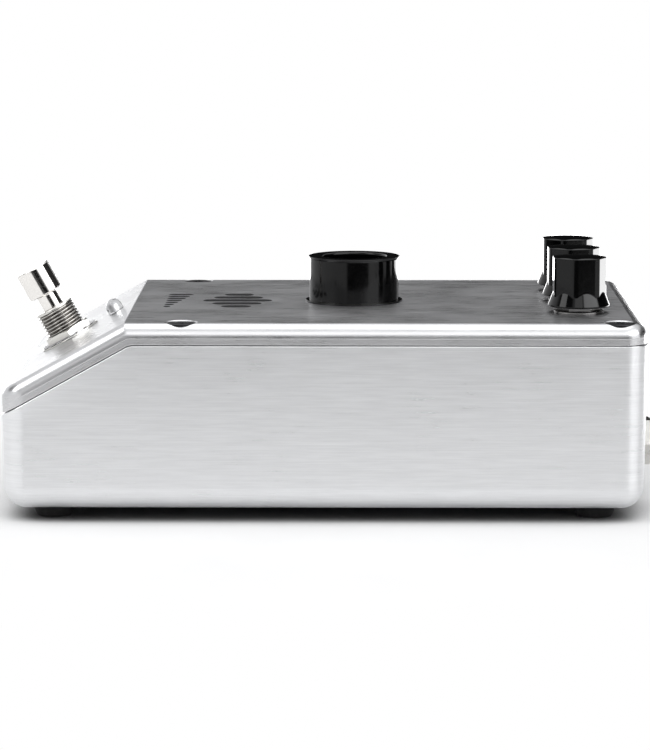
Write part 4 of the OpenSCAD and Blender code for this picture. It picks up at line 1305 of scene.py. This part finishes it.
# ---------------------------------------------------------------- floor
def floor_material():
    """Pale floor fading to white for the camera, with its own look in reflections."""
    m = Material("floor_pale")
    mottle = m.noise(m.coord(), scale=18.0, rough=0.5)
    color = m.mix(m.ramp(mottle, (0.3, 0.7)), (0.80, 0.80, 0.80), (0.83, 0.83, 0.83))
    xyz = m.split(m.coord())
    azimuth = m.azimuth(xyz)
    rays = m.node("ShaderNodeLightPath").outputs
    squeezed = m.mapped(m.coord(), (0.62, 1.0, 1.0))
    distance = m.node("ShaderNodeVectorMath", {0: squeezed}, operation="LENGTH").outputs["Value"]

    # reflections see a floor that is dark towards -Y and glows towards +Y
    dark = m.mul(m.window(azimuth, -0.30, 0.66, soft=0.06), m.fall(xyz["Y"], -0.435, -0.365))
    dark = m.mul(m.mul(dark, 0.99), rays["Is Glossy Ray"])
    glow = m.math("ADD", m.rise(azimuth, 1.90, 2.12), m.fall(azimuth, -2.72, -2.55), clamp=True)
    glow = m.mul(glow, m.rise(distance, 0.22, 0.34))
    glow = m.mul(m.mul(glow, 5.8), rays["Is Glossy Ray"])
    glow = m.node("ShaderNodeEmission", {1: glow}).outputs[0]
    lit = m.node("ShaderNodeAddShader", {0: m.principled.outputs[0], 1: glow}).outputs[0]

    # the camera sees it fade to pure white
    white = m.node("ShaderNodeEmission", {0: (1, 1, 1)}).outputs[0]
    fade = m.mul(m.rise(distance, 0.075, 0.20), rays["Is Camera Ray"])
    m.feed(m.out.inputs[0], m.mix_shader(fade, lit, white))

    # nearly black contact shadow
    contact = m.ramp(m.occlusion(distance=0.018, samples=12), (0.10, 0.72), to=(0.92, 0.0),
                     smooth=True)
    contact = m.mul(contact, m.sub(1.0, rays["Is Glossy Ray"]))
    color = m.mix(contact, color, (0.012, 0.012, 0.012))
    fine = m.noise(m.coord(), scale=700.0, detail=2, rough=0.5)
    m.set(Base_Color=m.mix(dark, color, (0.004, 0.004, 0.004)), Roughness=0.7,
          Specular_IOR_Level=0.1, Normal=m.bump(fine, distance=0.00002, strength=0.3))
    return m.mat


FLOOR_HALF = 9000
floor_shape = Shape()
floor_shape.face([(sx * FLOOR_HALF, sy * FLOOR_HALF, 0)
                  for sx, sy in ((-1, -1), (1, -1), (1, 1), (-1, 1))])
floor = make("studio_floor", floor_shape)
floor.data.materials.append(floor_material())


# ---------------------------------------------------------------- world and lights
def build_world():
    """White to the camera, a soft sky for diffuse light and a patched studio in reflections."""
    world = bpy.data.worlds.new("studio")
    scene.world = world
    world.use_nodes = True
    g = Graph(world.node_tree)
    rays = g.node("ShaderNodeLightPath").outputs
    xyz = g.split(g.coord("Generated"))
    azimuth = g.azimuth(xyz)
    up = xyz["Z"]

    front = g.mul(g.window(azimuth, -0.30, 0.60, soft=0.06), g.fall(up, 0.20, 0.27))
    right = g.mul(g.window(azimuth, 1.40, 2.60, soft=0.12), g.fall(up, 0.45, 0.65))
    back = g.mul(g.add(g.rise(azimuth, 2.60, 2.80), g.fall(azimuth, -3.04, -3.01)),
                 g.fall(up, 0.34, 0.62))
    front_right = g.mul(g.window(azimuth, 0.52, 1.40, soft=0.10), g.fall(up, 0.5, 0.7))
    left = g.mul(g.window(azimuth, -2.30, -0.50, soft=0.12),
                 g.band(up, (0.34, 0.44), (0.64, 0.74)))
    back_left = g.mul(g.window(azimuth, -3.04, -2.62, soft=0.06),
                      g.band(up, (0.17, 0.24), (0.42, 0.52)))
    key = g.mul(g.window(azimuth, 0.34, 1.45, soft=0.05), g.band(up, (0.36, 0.46), (0.66, 0.74)))

    # brightness in reflections: an even level, then each patch and how much it changes it
    glossy = 0.95
    for op, patch, amount in (("SUBTRACT", front, 0.94), ("SUBTRACT", right, 0.93),
                              ("SUBTRACT", back, 0.94), ("ADD", front_right, 0.5),
                              ("SUBTRACT", left, 0.85), ("SUBTRACT", back_left, 0.1)):
        glossy = g.math(op, glossy, g.mul(patch, amount))
    glossy = g.add(g.math("MAXIMUM", glossy, 0.01), g.mul(key, 4.2))
    ambient = g.ramp(up, (0.0, 0.55), to=(0.06, 0.72), smooth=True)
    is_glossy = rays["Is Glossy Ray"]
    level = g.add(g.mul(glossy, is_glossy), g.mul(g.sub(1.0, is_glossy), ambient))

    studio = g.node("ShaderNodeBackground", {0: (0.985, 0.99, 1.0), 1: level}).outputs[0]
    white = g.node("ShaderNodeBackground", {0: (1, 1, 1), 1: 1.0}).outputs[0]
    g.node("ShaderNodeOutputWorld", {0: g.mix_shader(rays["Is Camera Ray"], studio, white)})


def area(name, location, target, size, power, size_y=None, glossy=True):
    light = bpy.data.lights.new(name, "AREA")
    light.shape = "RECTANGLE"
    light.size = size
    light.size_y = size_y or size
    light.energy = power
    o = bpy.data.objects.new(name, light)
    scene.collection.objects.link(o)
    o.location = location
    aim = Vector(target) - Vector(location)
    o.rotation_euler = aim.to_track_quat("-Z", "Y").to_euler()
    o.visible_camera = False
    o.visible_glossy = glossy


build_world()
area("key_left", location=(-0.80, -0.30, 0.75), target=(-0.02, 0, 0.03),
     size=0.5, size_y=0.6, power=3.4)
area("top_soft", location=(0.05, 0.10, 1.1), target=(0, 0, 0.03), size=0.9, power=3.8)
area("right_strip", location=(0.55, -0.55, 0.40), target=(0.06, 0, 0.05),
     size=0.12, size_y=0.5, power=1.6, glossy=False)
area("front_fill", location=(0.0, -1.3, 0.9), target=(0, 0, 0.03), size=0.7, power=1.6)

# ---------------------------------------------------------------- camera and render settings
CAMERA_PLACE = Vector((6.8256, -998.9515, 180.5508))    # mm
CAMERA_PITCH = 0.1444297       # radians downwards
CAMERA_YAW = -0.0090947        # radians from +Y towards +X


def build_camera():
    data = bpy.data.cameras.new("row_camera")
    camera = bpy.data.objects.new("row_camera", data)
    scene.collection.objects.link(camera)
    data.sensor_fit = "AUTO"
    data.sensor_width = 36.0
    data.lens = 158.088528
    data.clip_start, data.clip_end = 0.05, 50
    flat = math.cos(CAMERA_PITCH)
    forward = Vector((math.sin(CAMERA_YAW) * flat, math.cos(CAMERA_YAW) * flat,
                      -math.sin(CAMERA_PITCH)))
    right = Vector((math.cos(CAMERA_YAW), -math.sin(CAMERA_YAW), 0))
    rotation = Matrix((right, right.cross(forward), -forward)).transposed()
    camera.matrix_world = Matrix.Translation(CAMERA_PLACE * MM) @ rotation.to_4x4()
    scene.camera = camera


build_camera()
scene.view_settings.view_transform = "Standard"
scene.view_settings.look = "None"
scene.view_settings.exposure = 0.0
scene.view_settings.gamma = 1.0
scene.cycles.use_denoising = True
scene.cycles.max_bounces = 10
scene.cycles.transmission_bounces = 8
